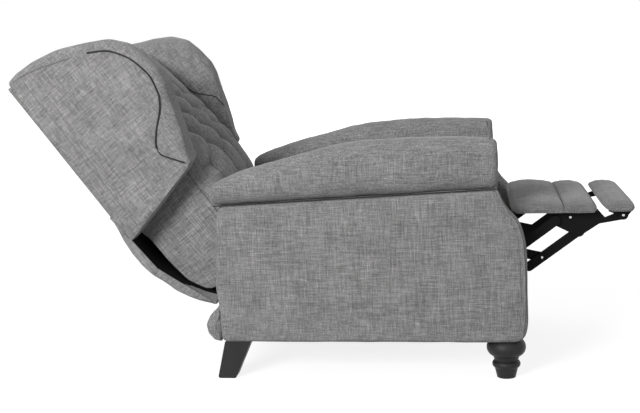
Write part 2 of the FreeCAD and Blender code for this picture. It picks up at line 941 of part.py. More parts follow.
def make_torque_tube():
    half = layer(-2)[0] - S.seat_gap
    centre = spot("front_pivot")
    tube = new_body("footrest_torque_tube")
    add_circle(tube, "Tube", "XZ_Plane", centre, S.tube_radius, -half, half)
    add_circle(tube, "Bore", "XZ_Plane", centre, S.tube_radius - S.tube_wall, -half, half, "Pocket")
    keep(tube)
    crank = new_body("footrest_crank")
    side = S.crank_thickness * S.half_share
    reach = S.crank_drop + S.crank_slot_length
    add_slot(crank, "Arm", "XZ_Plane", (ZERO, reach), S.crank_half_width, -side, side)
    add_circle(crank, "Hub", "XZ_Plane", (ZERO, ZERO), S.crank_hub_radius, -side, side)
    add_circle(crank, "Bore", "XZ_Plane", (ZERO, ZERO), S.tube_radius + S.seat_gap, -side, side,
               "Pocket")
    add_slot(crank, "Slot", "XZ_Plane", (S.crank_drop, reach), S.crank_slot_half_width,
             -side, side, "Pocket")
    place(crank, centre[0], centre[1], -S.crank_angle.number)
    keep(crank)


def make_drive():
    level = S.front_pivot_z - S.crank_drop
    gearbox_rear = S.motor_rear_x + S.motor_length
    gearbox_front = gearbox_rear + S.gearbox_length
    motor = new_body("motor")
    add_circle(motor, "Can", "YZ_Plane", (ZERO, level), S.motor_radius, S.motor_rear_x,
               gearbox_rear - S.seat_gap)
    keep(motor)
    gearbox = new_body("gearbox")
    half = S.gearbox_half_height
    add_box(gearbox, "Case", gearbox_rear, gearbox_front - S.seat_gap, level - half, level + half,
            -S.gearbox_half_width, S.gearbox_half_width)
    round_edges(gearbox, S.panel_edge_round, Vector(0, 1, 0))
    keep(gearbox)
    tube = new_body("drive_tube")
    add_circle(tube, "Tube", "YZ_Plane", (ZERO, level), S.drive_tube_radius, gearbox_front,
               S.drive_tube_front)
    add_circle(tube, "Bore", "YZ_Plane", (ZERO, level), S.drive_rod_radius + S.seat_gap,
               gearbox_front + S.tube_wall, S.drive_tube_front, "Pocket")
    keep(tube)
    make_push_rod(level)
    make_drive_supports(level)


def make_push_rod(level):
    crank_way = S.crank_drop * math.tan(math.radians(90.0 + S.crank_angle.number))
    pin = S.front_pivot_x + crank_way
    rear = pin + S.fork_half_height - S.fork_length
    gap = S.fork_gap * S.half_share
    side = gap + S.fork_ear
    height = S.fork_half_height
    rod = new_body("push_rod")
    add_box(rod, "Fork", rear, pin + height, level - height, level + height, -side, side)
    add_box(rod, "Gap", rear + S.fork_gap, pin + height, level - height, level + height,
            -gap, gap, "Pocket")
    add_circle(rod, "Rod", "YZ_Plane", (ZERO, level), S.drive_rod_radius, S.drive_rod_rear, rear)
    add_circle(rod, "Pin", "XZ_Plane", (pin, level), S.pin_radius, -side, side)
    keep(rod)


def make_drive_supports(level):
    beam = new_body("motor_beam")
    bottom = S.rear_tube_z + S.tube_radius + S.seat_gap
    top = level - S.gearbox_half_height - S.seat_gap
    front = S.motor_rear_x + S.motor_length + S.gearbox_length
    half = S.gearbox_half_width
    add_box(beam, "Bar", S.rear_tube_x - S.tube_radius, front, bottom, top, -half, half)
    hanger = new_body("drive_hanger")
    start = S.front_tube_x - S.crank_thickness * S.half_share
    add_box(hanger, "Plate", start, start + S.crank_thickness, level - S.crank_hub_radius,
            S.front_tube_z - S.tube_radius - S.seat_gap, -S.crank_hub_radius, S.crank_hub_radius)
    add_circle(hanger, "Bore", "YZ_Plane", (ZERO, level), S.drive_tube_radius + S.seat_gap,
               start, start + S.crank_thickness, "Pocket")
    grouped("drive_supports", [beam, hanger])
    inlet = new_body("power_inlet")
    size = S.inlet_size
    top = S.panel_bottom - S.seat_gap
    add_box(inlet, "Case", S.inlet_x, S.inlet_x + size, top - size * S.half_share, top,
            S.inlet_across - size, S.inlet_across)
    add_circle(inlet, "Socket", "YZ_Plane", (-S.inlet_across + size * S.half_share,
                                             top - size / 4), S.pin_radius,
               S.inlet_x, S.inlet_x + size * S.half_share, "Pocket")
    keep(inlet)


# soft forms


def cushion_section(place_at, rear, front, bottom, side, crest):
    """A cushion's side view: flat underneath, upright ends, a crown over the top."""
    spots = [(rear, bottom), (front, bottom), (front, side), (rear, side)]
    corners = [place_at(*item) for item in spots]
    peak = place_at((rear + front) * S.half_share.number, crest)
    edges = [
        Part.LineSegment(corners[0], corners[1]).toShape(),
        Part.LineSegment(corners[1], corners[2]).toShape(),
        Part.Arc(corners[2], peak, corners[3]).toShape(),
        Part.LineSegment(corners[3], corners[0]).toShape(),
    ]
    return Part.Wire(edges)


def cushion_stations(half, end_round):
    """Where a cushion's sections stand across the chair, and how far each one draws in."""
    shares = (-1.0, -S.outer_share.number, -S.inner_share.number)
    shares += (0.0,) + tuple(-share for share in reversed(shares))
    return [(half.number * share, end_round.number * share ** 6) for share in shares]


def cushion(rear, front, bottom, side, crest, half, end_round):
    """A crowned cushion, lofted across the chair through its side views."""
    numbers = [item.number for item in (rear, front, bottom, side, crest)]
    rear, front, bottom, side, crest = numbers
    sections = []
    for across, sink in cushion_stations(half, end_round):
        sections.append(cushion_section(
            lambda along, up, across=across: Vector(along, across, up),
            rear + sink, front - sink, bottom, side - sink, crest - 2 * sink))
    return Part.makeLoft(sections, True, False)


def feature(label, shape):
    item = DOC.addObject("Part::Feature", label)
    item.Label = label
    item.Shape = shape
    return item


def with_board_hollow(shape, rear, front, bottom, top, half):
    """Take the room of the board out of a pad from below."""
    gap = S.seat_gap.number
    size = (front - rear + 2 * gap, 2 * (half + gap), top - bottom + 2 * gap)
    corner = Vector(rear - gap, -half - gap, bottom - gap)
    return shape.cut(Part.makeBox(size[0], size[1], size[2], corner))


def make_seat():
    frame = new_body("seat_frame")
    bottom = S.plate_top + S.seat_gap
    top = bottom + S.seat_frame_height
    half = S.seat_frame_half_width
    bar_width = S.seat_frame_bar
    rear, front = S.seat_frame_rear, S.seat_frame_front
    add_outline(frame, "Block", "XY_Plane", box_corners(rear, front, -half, half), bottom, top)
    add_outline(frame, "Window", "XY_Plane",
                box_corners(rear + bar_width, front - bar_width, bar_width - half,
                            half - bar_width), bottom, top, "Pocket")
    keep(frame)
    seat = DOC.addObject("Part::Feature", "seat_cushion")
    seat.Shape = cushion(S.seat_rear, S.seat_front, top + S.seat_gap, S.seat_side, S.seat_crest,
                         S.seat_half_width, S.seat_end_round)
    keep(seat)
    make_springs(top)


def make_springs(top):
    """Sinuous springs, bent in half turns, between the front and rear bars."""
    wire = S.spring_wire.number
    level = top.number - S.seat_frame_height.number * S.half_share.number
    inset = S.seat_frame_bar.number + S.seat_gap.number + wire
    rear = S.seat_frame_rear.number + inset
    front = S.seat_frame_front.number - inset
    turns = int(S.spring_turns.number)
    pitch = (front - rear) / turns
    reach = S.spring_half_width.number
    members = []
    for index in range(int(S.spring_count.number)):
        middle = (index - (S.spring_count.number - 1) / 2) * S.spring_pitch.number
        edges = []
        last = Vector(rear, middle, level)
        for turn in range(turns):
            side = reach if turn % 2 else -reach
            peak = Vector(rear + (turn + S.half_share.number) * pitch, middle + side, level)
            end = Vector(rear + (turn + 1) * pitch, middle, level)
            edges.append(Part.Arc(last, peak, end).toShape())
            last = end
        path = Part.Wire(edges)
        ring = Part.Wire([Part.Circle(Vector(rear, middle, level), Vector(0, 1, 0), wire).toShape()])
        members.append(path.makePipeShell([ring], True, True, 2))
    keep(feature("seat_springs", Part.makeCompound(members)))


def footrest_pad(label, rear, front, board_rear, board_front, board_bottom, crest):
    shape = cushion(rear, front, S.board_bottom, S.pad_side, crest, S.pad_half_width,
                    S.pad_end_round)
    shape = with_board_hollow(shape, board_rear.number, board_front.number, board_bottom.number,
                              (board_bottom + S.board_thickness).number,
                              S.board_half_width.number)
    keep(feature(label, shape))


def make_footrest():
    plate = new_body("right_ottoman_plate")
    inner, outer = layer(0)
    boss = S.pivot_boss
    top = S.board_bottom - S.seat_gap
    corners = [
        (S.footrest_rear_x - boss, S.footrest_rear_z),
        (S.footrest_rear_x - boss, top),
        (S.plate_arm_x, top),
        (S.plate_arm_x + boss, S.plate_arm_top),
        (S.flipper_pivot_x, S.flipper_pivot_z + S.link_half_width),
        (S.flipper_pivot_x, S.flipper_pivot_z - S.link_half_width),
        (S.plate_arm_x, S.plate_arm_bottom),
        (S.footrest_front_x, S.footrest_front_z - boss),
        (S.footrest_rear_x, S.footrest_rear_z - boss),
    ]
    add_outline(plate, "Side", "XZ_Plane", corners, inner, outer)
    bosses = (("footrest_front", boss), ("footrest_rear", boss),
              ("flipper_pivot", S.link_half_width))
    for name, radius in bosses:
        add_circle(plate, name + "_boss", "XZ_Plane", spot(name), radius, inner, outer)
    for name, _ in bosses:
        radius = S.pin_radius + S.pin_play
        add_circle(plate, name + "_hole", "XZ_Plane", spot(name), radius, inner, outer, "Pocket")
    add_box(plate, "Flange", S.footrest_rear_x - boss, S.plate_arm_x, top - S.channel_wall, top,
            outer - S.plate_flange, outer)
    both_sides("ottoman_plate", plate)
    board = new_body("ottoman_board")
    add_box(board, "Board", S.board_rear, S.board_front, S.board_bottom,
            S.board_bottom + S.board_thickness, -S.board_half_width, S.board_half_width)
    keep(board)
    gap = S.seat_gap
    footrest_pad("ottoman_rear_pad", S.pad_rear, S.pad_seam - gap, S.board_rear, S.board_front,
                 S.board_bottom, S.pad_crest)
    footrest_pad("ottoman_front_pad", S.pad_seam, S.pad_front, S.board_rear, S.board_front,
                 S.board_bottom, S.pad_crest)
    make_flipper()


def make_flipper():
    inset = S.flipper_board_inset
    rear, front = S.flipper_rear + inset, S.flipper_front - inset
    bottom = S.flipper_bottom
    bracket = new_body("right_flipper_bracket")
    inner, outer = layer(1)
    radius = S.link_half_width
    pivot = spot("flipper_pivot")
    under = bottom - S.seat_gap
    corners = [
        (rear, under - S.channel_wall),
        (pivot[0] - radius, pivot[1]),
        (pivot[0] + radius, pivot[1]),
        (front, under - S.channel_wall),
        (front, under),
        (rear, under),
    ]
    add_outline(bracket, "Side", "XZ_Plane", corners, inner, outer)
    add_circle(bracket, "Boss", "XZ_Plane", pivot, radius, inner, outer)
    add_circle(bracket, "Hole", "XZ_Plane", pivot, S.pin_radius + S.pin_play, inner, outer,
               "Pocket")
    add_box(bracket, "Flange", pivot[0] + radius, front, under - S.channel_wall, under,
            inner - S.plate_flange * S.half_share, outer)
    pair("flipper_brackets", bracket)
    board = new_body("flipper_board")
    add_box(board, "Board", rear, front, bottom, bottom + S.board_thickness,
            -S.board_half_width, S.board_half_width)
    keep(board)
    shape = cushion(S.flipper_rear, S.flipper_front, bottom, S.flipper_side, S.flipper_crest,
                    S.pad_half_width, S.pad_end_round)
    shape = with_board_hollow(shape, rear.number, front.number, bottom.number,
                              (bottom + S.board_thickness).number, S.board_half_width.number)
    keep(feature("flipper_pad", shape))


# back, drawn upright and tilted about the foot of its outside


def in_the_back(point):
    """A place of the chair, measured forward of the back's outside and up along it."""
    along = point[0] - S.back_foot_x
    rise = point[1] - S.back_foot_z
    tilt = math.radians(S.back_tilt.number)
    cosine = Size(math.cos(tilt), "cos(%s)" % S.back_tilt.text)
    sine = Size(math.sin(tilt), "sin(%s)" % S.back_tilt.text)
    return along * cosine + rise * sine, rise * cosine - along * sine


def lean(item):
    return place(item, S.back_foot_x, S.back_foot_z, -S.back_tilt.number)


def make_back_core():
    core = new_body("back_core")
    half = S.core_half_width
    corners = [
        (S.core_rear_foot, S.core_foot),
        (S.core_front, S.core_foot),
        (S.core_front, S.core_top_front, S.core_top_rise),
        (S.core_rear, S.core_top),
        (S.core_rear, S.outside_foot),
    ]
    add_outline(core, "Block", "XZ_Plane", corners, -half, half)
    inset = S.back_frame_inset
    gap = S.seat_gap
    low, high = S.outside_foot + inset, S.core_top - inset
    wide = S.back_frame_half_width
    depth = S.back_frame_depth
    rear = S.core_rear

    def ring(trim):
        """The frame's outline and window, both with the trim to spare."""
        return [box_corners(-wide - trim, wide + trim, low - trim, high + trim),
                box_corners(inset + trim - wide, wide - inset - trim, low + inset + trim,
                            high - inset - trim)]

    add_ring(core, "Pocket", "YZ_Plane", ring(gap), rear, rear + depth + gap, "Pocket")
    keep(lean(core))
    frame = new_body("back_frame")
    add_ring(frame, "Frame", "YZ_Plane", ring(ZERO), rear, rear + depth)
    keep(lean(frame))
    panel = new_body("back_outside_panel")
    add_box(panel, "Panel", S.core_rear - S.seat_gap - S.outside_panel, S.core_rear - S.seat_gap,
            S.outside_foot, S.outside_top, -S.outside_half_width, S.outside_half_width)
    keep(lean(panel))
    flap = new_body("rear_flap")
    thick = S.flap_thickness
    top = S.outside_foot + S.flap_lap
    face = S.core_rear - S.outside_panel - S.seat_gap - S.seat_gap
    corners = [
        (face, top),
        (face - thick, top, -S.flap_rise),
        (ZERO, S.flap_knee, -S.flap_foot_rise),
        (S.flap_foot_depth, S.flap_foot),
        (S.flap_foot_depth + thick, S.flap_foot + thick, S.flap_foot_rise),
        (thick, S.flap_knee + thick * S.half_share, S.flap_rise),
    ]
    add_outline(flap, "Cloth", "XZ_Plane", corners, -S.outside_half_width, S.outside_half_width)
    keep(lean(flap))


def make_back_brackets():
    bracket = new_body("right_back_bracket")
    inner, outer = layer(1)
    face = S.core_front + S.seat_gap
    thick = S.plate_thickness
    radius = S.pivot_boss
    pivot = in_the_back(spot("back_pivot"))
    corners = [
        (face, S.bracket_foot),
        (face + thick, S.bracket_foot),
        (pivot[0], pivot[1] - radius),
        (pivot[0], pivot[1] + radius),
        (face + thick, S.bracket_head),
        (face, S.bracket_head),
    ]
    add_outline(bracket, "Side", "XZ_Plane", corners, inner, outer)
    add_circle(bracket, "Boss", "XZ_Plane", pivot, radius, inner, outer)
    add_circle(bracket, "Hole", "XZ_Plane", pivot, S.pin_radius + S.pin_play, inner, outer,
               "Pocket")
    add_box(bracket, "Flange", face, face + S.channel_wall, S.bracket_foot, S.bracket_head,
            outer - S.plate_flange, outer)
    pair("back_brackets", lean(bracket))


def make_wings():
    wing = new_body("right_wing")
    corners = [
        (S.core_rear, S.wing_foot_rear),
        (S.core_rear, S.wing_top_rear, S.wing_top_rise),
        (S.wing_crest_depth, S.wing_crest, S.wing_brow_rise),
        (S.wing_brow_depth, S.wing_brow),
        (S.wing_waist_depth, S.wing_waist),
        (S.wing_foot_depth, S.wing_foot_front),
    ]
    add_outline(wing, "Side", "XZ_Plane", corners, S.wing_inner, S.wing_outer)
    round_corners(wing, S.wing_corner_round, S.wing_waist_depth)
    round_outside(wing, S.wing_round, S.wing_outer, False)
    both_sides("wing", lean(wing))


def tuft_spots():
    """The places of the tufts on the back cushion, in a diamond pattern."""
    spots = []
    rows = int(S.tuft_rows.number)
    for row in range(rows):
        count = int(S.tuft_columns.number) - row % 2
        for column in range(count):
            across = (column - (count - 1) / 2) * S.tuft_pitch_across.number
            spots.append((across, S.tuft_first.number + row * S.tuft_pitch_up.number))
    return spots


def fullness(across):
    """How thick the back cushion is across the chair, as a share of its middle."""
    share = across / S.cushion_half_width.number
    return 1 - S.cushion_side_share.number * share * share


def face_spots(across, sink=0.0):
    """The foot, the crown and the top of the back cushion's face, in the upright frame."""
    face = S.core_front.number + S.seat_gap.number
    places = (
        (S.cushion_foot_edge.number - sink, S.cushion_foot.number + sink),
        (S.cushion_crown.number, S.cushion_crown_height.number),
        (S.cushion_top_edge.number - sink, S.cushion_top.number - sink),
    )
    return [Vector(face + depth * fullness(across), across, up) for depth, up in places]


def back_cushion_section(across, sink):
    """The cushion's side view in the upright frame: flat behind, crowned in front."""
    foot, crown, top = face_spots(across, sink)
    face = S.core_front.number + S.seat_gap.number
    low, high = Vector(face, across, foot.z), Vector(face, across, top.z)
    edges = [
        Part.LineSegment(low, foot).toShape(),
        Part.Arc(foot, crown, top).toShape(),
        Part.LineSegment(top, high).toShape(),
        Part.LineSegment(high, low).toShape(),
    ]
    return Part.Wire(edges)


def cushion_depth(across, up):
    """How far forward the back cushion's face lies at a place."""
    circle = Part.Arc(*face_spots(across)).toShape().Curve
    rise = up - circle.Center.z
    return circle.Center.x + math.sqrt(circle.Radius ** 2 - rise * rise)


def tuft_neighbours(spots):
    """The pairs of tufts that a diagonal fold joins."""
    across = S.tuft_pitch_across.number * S.half_share.number
    reach = math.hypot(across, S.tuft_pitch_up.number) + S.pin_play.number
    pairs = []
    for index, first in enumerate(spots):
        for second in spots[index + 1:]:
            if math.dist(first, second) < reach and first[1] != second[1]:
                pairs.append((first, second))
    return pairs


def pleat_ends(spots):
    """Pleats run from the lowest tufts to the foot and from the outer ones to the sides."""
    outer = max(across for across, _ in spots)
    side = S.cushion_half_width.number + S.pleat_overrun.number
    foot = S.cushion_foot.number - S.pleat_overrun.number
    ends = []
    for across, up in spots:
        if up == S.tuft_first.number:
            ends.append(((across, up), (across, foot)))
        if abs(across) == outer:
            ends.append(((across, up), (math.copysign(side, across), up)))
    return ends


def fold_cut(first, second):
    """A round groove in the cushion's face between two places."""
    start, end = [Vector(cushion_depth(*item), item[0], item[1]) for item in (first, second)]
    way = end - start
    return Part.makeCylinder(S.pleat_radius.number, way.Length, start, way)


def make_back_cushion():
    stations = cushion_stations(S.cushion_half_width, S.seat_end_round)
    shape = Part.makeLoft([back_cushion_section(*item) for item in stations], True, False)
    cuts, buttons = [], []
    wide, narrow, depth = S.tuft_radius.number, S.tuft_bottom_radius.number, S.tuft_depth.number
    spots = tuft_spots()
    for across, up in spots:
        floor = cushion_depth(across, up) - depth
        foot = Vector(floor, across, up)
        cuts.append(Part.makeCone(narrow, wide, depth * 2, foot, Vector(1, 0, 0)))
        button = Part.makeCylinder(narrow - S.seat_gap.number, S.pin_play.number + narrow,
                                   foot + Vector(S.seat_gap.number, 0, 0), Vector(1, 0, 0))
        buttons.append(button)
    cuts += [fold_cut(*ends) for ends in tuft_neighbours(spots) + pleat_ends(spots)]
    keep(lean(feature("back_cushion", shape.cut(cuts))))
    keep(lean(feature("tuft_buttons", Part.makeCompound(buttons))))


# control on the sitter's left side


def control_plane(value):
    """Measures from the middle of the chair to the sitter's left are below zero here."""
    return -value


def make_control():
    outside = S.panel_outer + S.seat_gap
    face = outside + S.control_flange
    length, height = S.control_length, S.control_height
    bezel = new_body("switch_bezel")
    centre = (S.control_x, S.control_z)

    def block(name, trim, first, last):
        across = length * S.half_share - trim
        up = height * S.half_share - trim
        add_box(bezel, name, centre[0] - across, centre[0] + across, centre[1] - up,
                centre[1] + up, control_plane(last), control_plane(first))

    block("Flange", ZERO, outside, face)
    block("Case", S.control_lip, S.panel_outer - S.control_depth + S.seat_gap, outside)
    bore = face + S.button_proud - S.button_length - S.button_travel - S.seat_gap
    for index, name in enumerate(("recline_button", "return_button")):
        along = centre[0] + (index - S.half_share) * S.button_pitch
        add_circle(bezel, name, "XZ_Plane", (along, centre[1]), S.button_radius + S.button_play,
                   control_plane(face), control_plane(bore), "Pocket")
        button = new_body(name)
        outer = face + S.button_proud
        add_circle(button, "Cap", "XZ_Plane", (along, centre[1]), S.button_radius,
                   control_plane(outer), control_plane(outer - S.button_length))
        keep(button)
    keep(bezel)


# making and writing


def check_all():
    for item in DOC.Objects:
        bad = {"Invalid", "Error"} & set(item.State)
        if bad:
            raise RuntimeError("%s: %s" % (item.Name, bad))
    for item in NODES:
        shape = item.Shape
        if shape.isNull() or not shape.isValid() or not shape.Solids:
            raise RuntimeError("bad shape: " + item.Label)


def write_all():
    os.makedirs("parts", exist_ok=True)
    for item in NODES:
        item.Shape.exportStep("parts/%s.step" % item.Label)


def main():
    fill_sheet()
    derive_sizes()
    make_side_panels()
    make_arm_pads()
    make_rails()
    make_feet()
    make_base_rails()
    make_carriage_plates()
    make_cross_tubes()
    make_links()
    make_rivets()
    make_torque_tube()
    make_drive()
    make_seat()
    make_footrest()
    make_back_core()
    make_back_brackets()
    make_wings()
    make_back_cushion()
    make_control()
    DOC.recompute()
    check_all()
    write_all()


main()
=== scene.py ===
"""The looks of the power recliner: linen upholstery, tufts, welts, black steel and dark feet."""
import json
import math

import bmesh
import bpy
from mathutils import Matrix, Vector, noise


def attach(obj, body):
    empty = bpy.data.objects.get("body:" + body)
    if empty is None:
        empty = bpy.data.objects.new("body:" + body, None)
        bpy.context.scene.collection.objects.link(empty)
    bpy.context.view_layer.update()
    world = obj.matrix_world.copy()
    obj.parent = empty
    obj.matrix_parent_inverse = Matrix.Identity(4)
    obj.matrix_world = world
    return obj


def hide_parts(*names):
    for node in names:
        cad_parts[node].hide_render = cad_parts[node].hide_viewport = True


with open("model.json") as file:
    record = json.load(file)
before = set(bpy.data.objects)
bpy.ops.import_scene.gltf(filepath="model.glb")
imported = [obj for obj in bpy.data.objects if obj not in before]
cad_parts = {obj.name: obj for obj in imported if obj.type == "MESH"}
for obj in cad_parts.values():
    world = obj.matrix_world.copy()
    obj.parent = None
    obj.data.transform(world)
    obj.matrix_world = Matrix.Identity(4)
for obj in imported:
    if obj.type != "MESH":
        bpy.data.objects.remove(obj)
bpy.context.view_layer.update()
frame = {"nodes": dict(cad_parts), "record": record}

# the camera of the photograph
IMAGE_WIDTH = 640
FOCAL_PIXELS = 1172
SENSOR_WIDTH = 36.0
TARGET = Vector((-0.040, 0.0, 0.389))
DISTANCE = 3.23
AZIMUTH = math.radians(7.5)
ELEVATION = math.radians(8.6)
ROLL = math.radians(-1.8)

# the tilted frame of the back: up it, and forward of its outside
BACK_FOOT = Vector((-0.2945, 0.0, 0.111))
BACK_TILT = math.radians(37.05)
SIDES = {"right": -1, "left": 1}


def make_camera():
    """The camera fitted to the photograph: aimed at the target and rolled a little."""
    back = Vector((math.sin(AZIMUTH) * math.cos(ELEVATION),
                   -math.cos(AZIMUTH) * math.cos(ELEVATION), math.sin(ELEVATION)))
    right = (-back).cross(Vector((0, 0, 1))).normalized()
    up = right.cross(-back)
    turned_right = right * math.cos(ROLL) + up * math.sin(ROLL)
    turned_up = up * math.cos(ROLL) - right * math.sin(ROLL)
    data = bpy.data.cameras.new("camera")
    data.sensor_width = SENSOR_WIDTH
    data.lens = FOCAL_PIXELS / IMAGE_WIDTH * SENSOR_WIDTH
    camera = bpy.data.objects.new("camera", data)
    bpy.context.scene.collection.objects.link(camera)
    camera.matrix_world = Matrix.Translation(TARGET + back * DISTANCE) @ Matrix(
        (turned_right, turned_up, back)).transposed().to_4x4()
    bpy.context.scene.camera = camera


# materials


def new_material(name):
    material = bpy.data.materials.new(name)
    material.use_nodes = True
    nodes = material.node_tree.nodes
    return material, nodes, material.node_tree.links, nodes["Principled BSDF"]


def object_place(nodes, links, turn, scale=(1, 1, 1)):
    """The place in the object's own frame, turned about its y axis."""
    place = nodes.new("ShaderNodeTexCoord")
    mapping = nodes.new("ShaderNodeMapping")
    mapping.vector_type = "POINT"
    mapping.inputs["Rotation"].default_value = (0, turn, 0)
    mapping.inputs["Scale"].default_value = scale
    links.new(place.outputs["Object"], mapping.inputs["Vector"])
    return mapping.outputs["Vector"]


def scaled(nodes, links, vector, scale):
    mapping = nodes.new("ShaderNodeMapping")
    mapping.inputs["Scale"].default_value = scale
    links.new(vector, mapping.inputs["Vector"])
    return mapping.outputs["Vector"]


NOISE_ROUGHNESS = 0.6


def noise_value(nodes, links, vector, scale, detail):
    texture = nodes.new("ShaderNodeTexNoise")
    texture.inputs["Scale"].default_value = scale
    texture.inputs["Detail"].default_value = detail
    texture.inputs["Roughness"].default_value = NOISE_ROUGHNESS
    links.new(vector, texture.inputs["Vector"])
    return texture.outputs["Fac"]


def math_node(nodes, links, kind, first, second):
    node = nodes.new("ShaderNodeMath")
    node.operation = kind
    for index, value in enumerate((first, second)):
        if isinstance(value, (int, float)):
            node.inputs[index].default_value = value
        else:
            links.new(value, node.inputs[index])
    return node.outputs[0]


def ramp(nodes, links, value, stops):
    node = nodes.new("ShaderNodeValToRGB")
    node.color_ramp.interpolation = "LINEAR"
    elements = node.color_ramp.elements
    while len(elements) < len(stops):
        elements.new(0.5)
    for element, (place, colour) in zip(elements, stops):
        element.position = place
        element.color = (*colour, 1)
    links.new(value, node.inputs["Fac"])
    return node.outputs["Color"]


def bump(nodes, links, shader, height, strength, distance):
    node = nodes.new("ShaderNodeBump")
    node.inputs["Strength"].default_value = strength
    node.inputs["Distance"].default_value = distance
    links.new(height, node.inputs["Height"])
    links.new(node.outputs["Normal"], shader.inputs["Normal"])


# the linen: what each axis gives to the threads, the noise scales across and along a thread,
# the shares of the mix, and the greys along it
THREAD_SHARES = (0.38, 0.24, 0.38)
SLUB_SCALES = (400.0, 26.0)
THREAD_SCALES = (900.0, 120.0)
BLOTCH_SCALE = 14.0
SLUB_MIX, THREAD_MIX, BLOTCH_MIX = 0.56, 0.36, 0.08
LINEN_GREYS = ((0.38, 0.075), (0.455, 0.160), (0.525, 0.265), (0.60, 0.42))
LINEN_TINT = 0.985
LINEN_RELIEF = 0.0012


def streaks(nodes, links, vector, across, along):
    """Threads along each of the three axes, added up."""
    total = None
    for axis, share in enumerate(THREAD_SHARES):
        scale = [across, across, across]
        scale[axis] = along
        value = noise_value(nodes, links, scaled(nodes, links, vector, scale), 1.0, 2.0)
        value = math_node(nodes, links, "MULTIPLY", value, share)
        total = value if total is None else math_node(nodes, links, "ADD", total, value)
    return total


def linen(name, turn, level):
    """Heathered grey linen: slub threads of two lengths, blotches and a fine weave."""
    material, nodes, links, shader = new_material(name)
    vector = object_place(nodes, links, turn)
    slubs = streaks(nodes, links, vector, *SLUB_SCALES)
    threads = streaks(nodes, links, vector, *THREAD_SCALES)
    blotches = noise_value(nodes, links, vector, BLOTCH_SCALE, 3.0)
    mixed = math_node(nodes, links, "ADD",
                      math_node(nodes, links, "MULTIPLY", slubs, SLUB_MIX),
                      math_node(nodes, links, "MULTIPLY", threads, THREAD_MIX))
    mixed = math_node(nodes, links, "ADD", mixed,
                      math_node(nodes, links, "MULTIPLY", blotches, BLOTCH_MIX))
    stops = [(place, (grey * level, grey * level * LINEN_TINT, grey * level * LINEN_TINT))
             for place, grey in LINEN_GREYS]
    links.new(ramp(nodes, links, mixed, stops), shader.inputs["Base Color"])
    shader.inputs["Roughness"].default_value = 0.93
    shader.inputs["Specular IOR Level"].default_value = 0.2
    shader.inputs["Sheen Weight"].default_value = 0.25
    shader.inputs["Sheen Roughness"].default_value = 0.5
    bump(nodes, links, shader, math_node(nodes, links, "ADD", threads, slubs), 0.5,
         LINEN_RELIEF)
    return material


ROUGHNESS_SPREAD = 0.2


def plain(name, colour, roughness, metallic, grain, change, relief, specular):
    """A surface with cloudy change of tone and roughness and a little relief."""
    material, nodes, links, shader = new_material(name)
    vector = object_place(nodes, links, 0.0, grain)
    value = noise_value(nodes, links, vector, 1.0, 4.0)
    dark = [part * (1 - change) for part in colour]
    light = [min(1.0, part * (1 + change)) for part in colour]
    links.new(ramp(nodes, links, value, ((0.3, dark), (0.7, light))), shader.inputs["Base Color"])
    rough = math_node(nodes, links, "MULTIPLY", value, ROUGHNESS_SPREAD)
    rough = math_node(nodes, links, "ADD", rough, roughness - ROUGHNESS_SPREAD / 2)
    links.new(rough, shader.inputs["Roughness"])
    shader.inputs["Metallic"].default_value = metallic
    shader.inputs["Specular IOR Level"].default_value = specular
    bump(nodes, links, shader, value, 0.35, relief)
    return material


# name, turn of the threads, level of the greys; the back's higher level is painted light and the
# footrest's lower one painted shade, on one grey linen
LINENS = {
    "linen": ("linen", 0.0, 0.93),
    "linen_back_painted_light": ("linen_back_painted_light", BACK_TILT, 1.0),
    "linen_foot_painted_shade": ("linen_foot_painted_shade", 0.0, 0.70),
    # painted shade: the welt's near-black grey stands for the shade in the creases at the wing's
    # piping and the arm and wing seams
    "welt": ("welt", 0.0, 0.12),
    # painted shade: the seam cord's darker grey stands for the shade in the seams' grooves
    "cord": ("seam_cord_painted_shade", 0.0, 0.75),
}
# name, colour, roughness, metallic, grain along x, y and z, change of tone, relief, specular
PLAIN_FINISHES = {
    "steel": ("black_steel", (0.0032, 0.0032, 0.0036), 0.7, 0.0, (45, 45, 45), 0.3, 0.0002, 0.12),
    "rivet": ("rivet_steel", (0.6, 0.6, 0.62), 0.3, 1.0, (200, 200, 200), 0.1, 0.0001, 0.5),
    "spring": ("spring_steel", (0.32, 0.32, 0.34), 0.35, 1.0, (90, 90, 90), 0.2, 0.0001, 0.5),
    "wood": ("plywood", (0.34, 0.24, 0.14), 0.7, 0.0, (6, 60, 60), 0.25, 0.0003, 0.5),
    "foot": ("dark_wood", (0.017, 0.016, 0.017), 0.5, 0.0, (40, 40, 8), 0.3, 0.0002, 0.25),
    "dust": ("dust_cloth", (0.012, 0.012, 0.013), 0.95, 0.0, (500, 500, 500), 0.4, 0.0004, 0.1),
    "motor": ("motor_paint", (0.06, 0.06, 0.065), 0.4, 0.3, (30, 80, 80), 0.2, 0.0002, 0.5),
    "plastic": ("black_plastic", (0.02, 0.02, 0.022), 0.5, 0.0, (300, 300, 300), 0.2, 0.0001,
                0.5),
    "button": ("button_plastic", (0.16, 0.16, 0.17), 0.4, 0.0, (300, 300, 300), 0.15, 0.0001,
               0.5),
}


def make_materials():
    made = {key: linen(*values) for key, values in LINENS.items()}
    made.update({key: plain(*values) for key, values in PLAIN_FINISHES.items()})
    return made


# building surfaces


def back_place(forward, across, up):
    """A point of the back's own frame, as it stands in the reclined chair."""
    cosine, sine = math.cos(BACK_TILT), math.sin(BACK_TILT)
    return BACK_FOOT + Vector((forward * cosine - up * sine, across,
                               forward * sine + up * cosine))


def side_place(sign):
    """Places on one side of the chair, with the distance from its middle positive."""
    def place(along, across, up):
        return Vector((along, sign * across, up))
    return place


chair_place = side_place(1)


def clamped(value):
    return min(1.0, max(0.0, value))


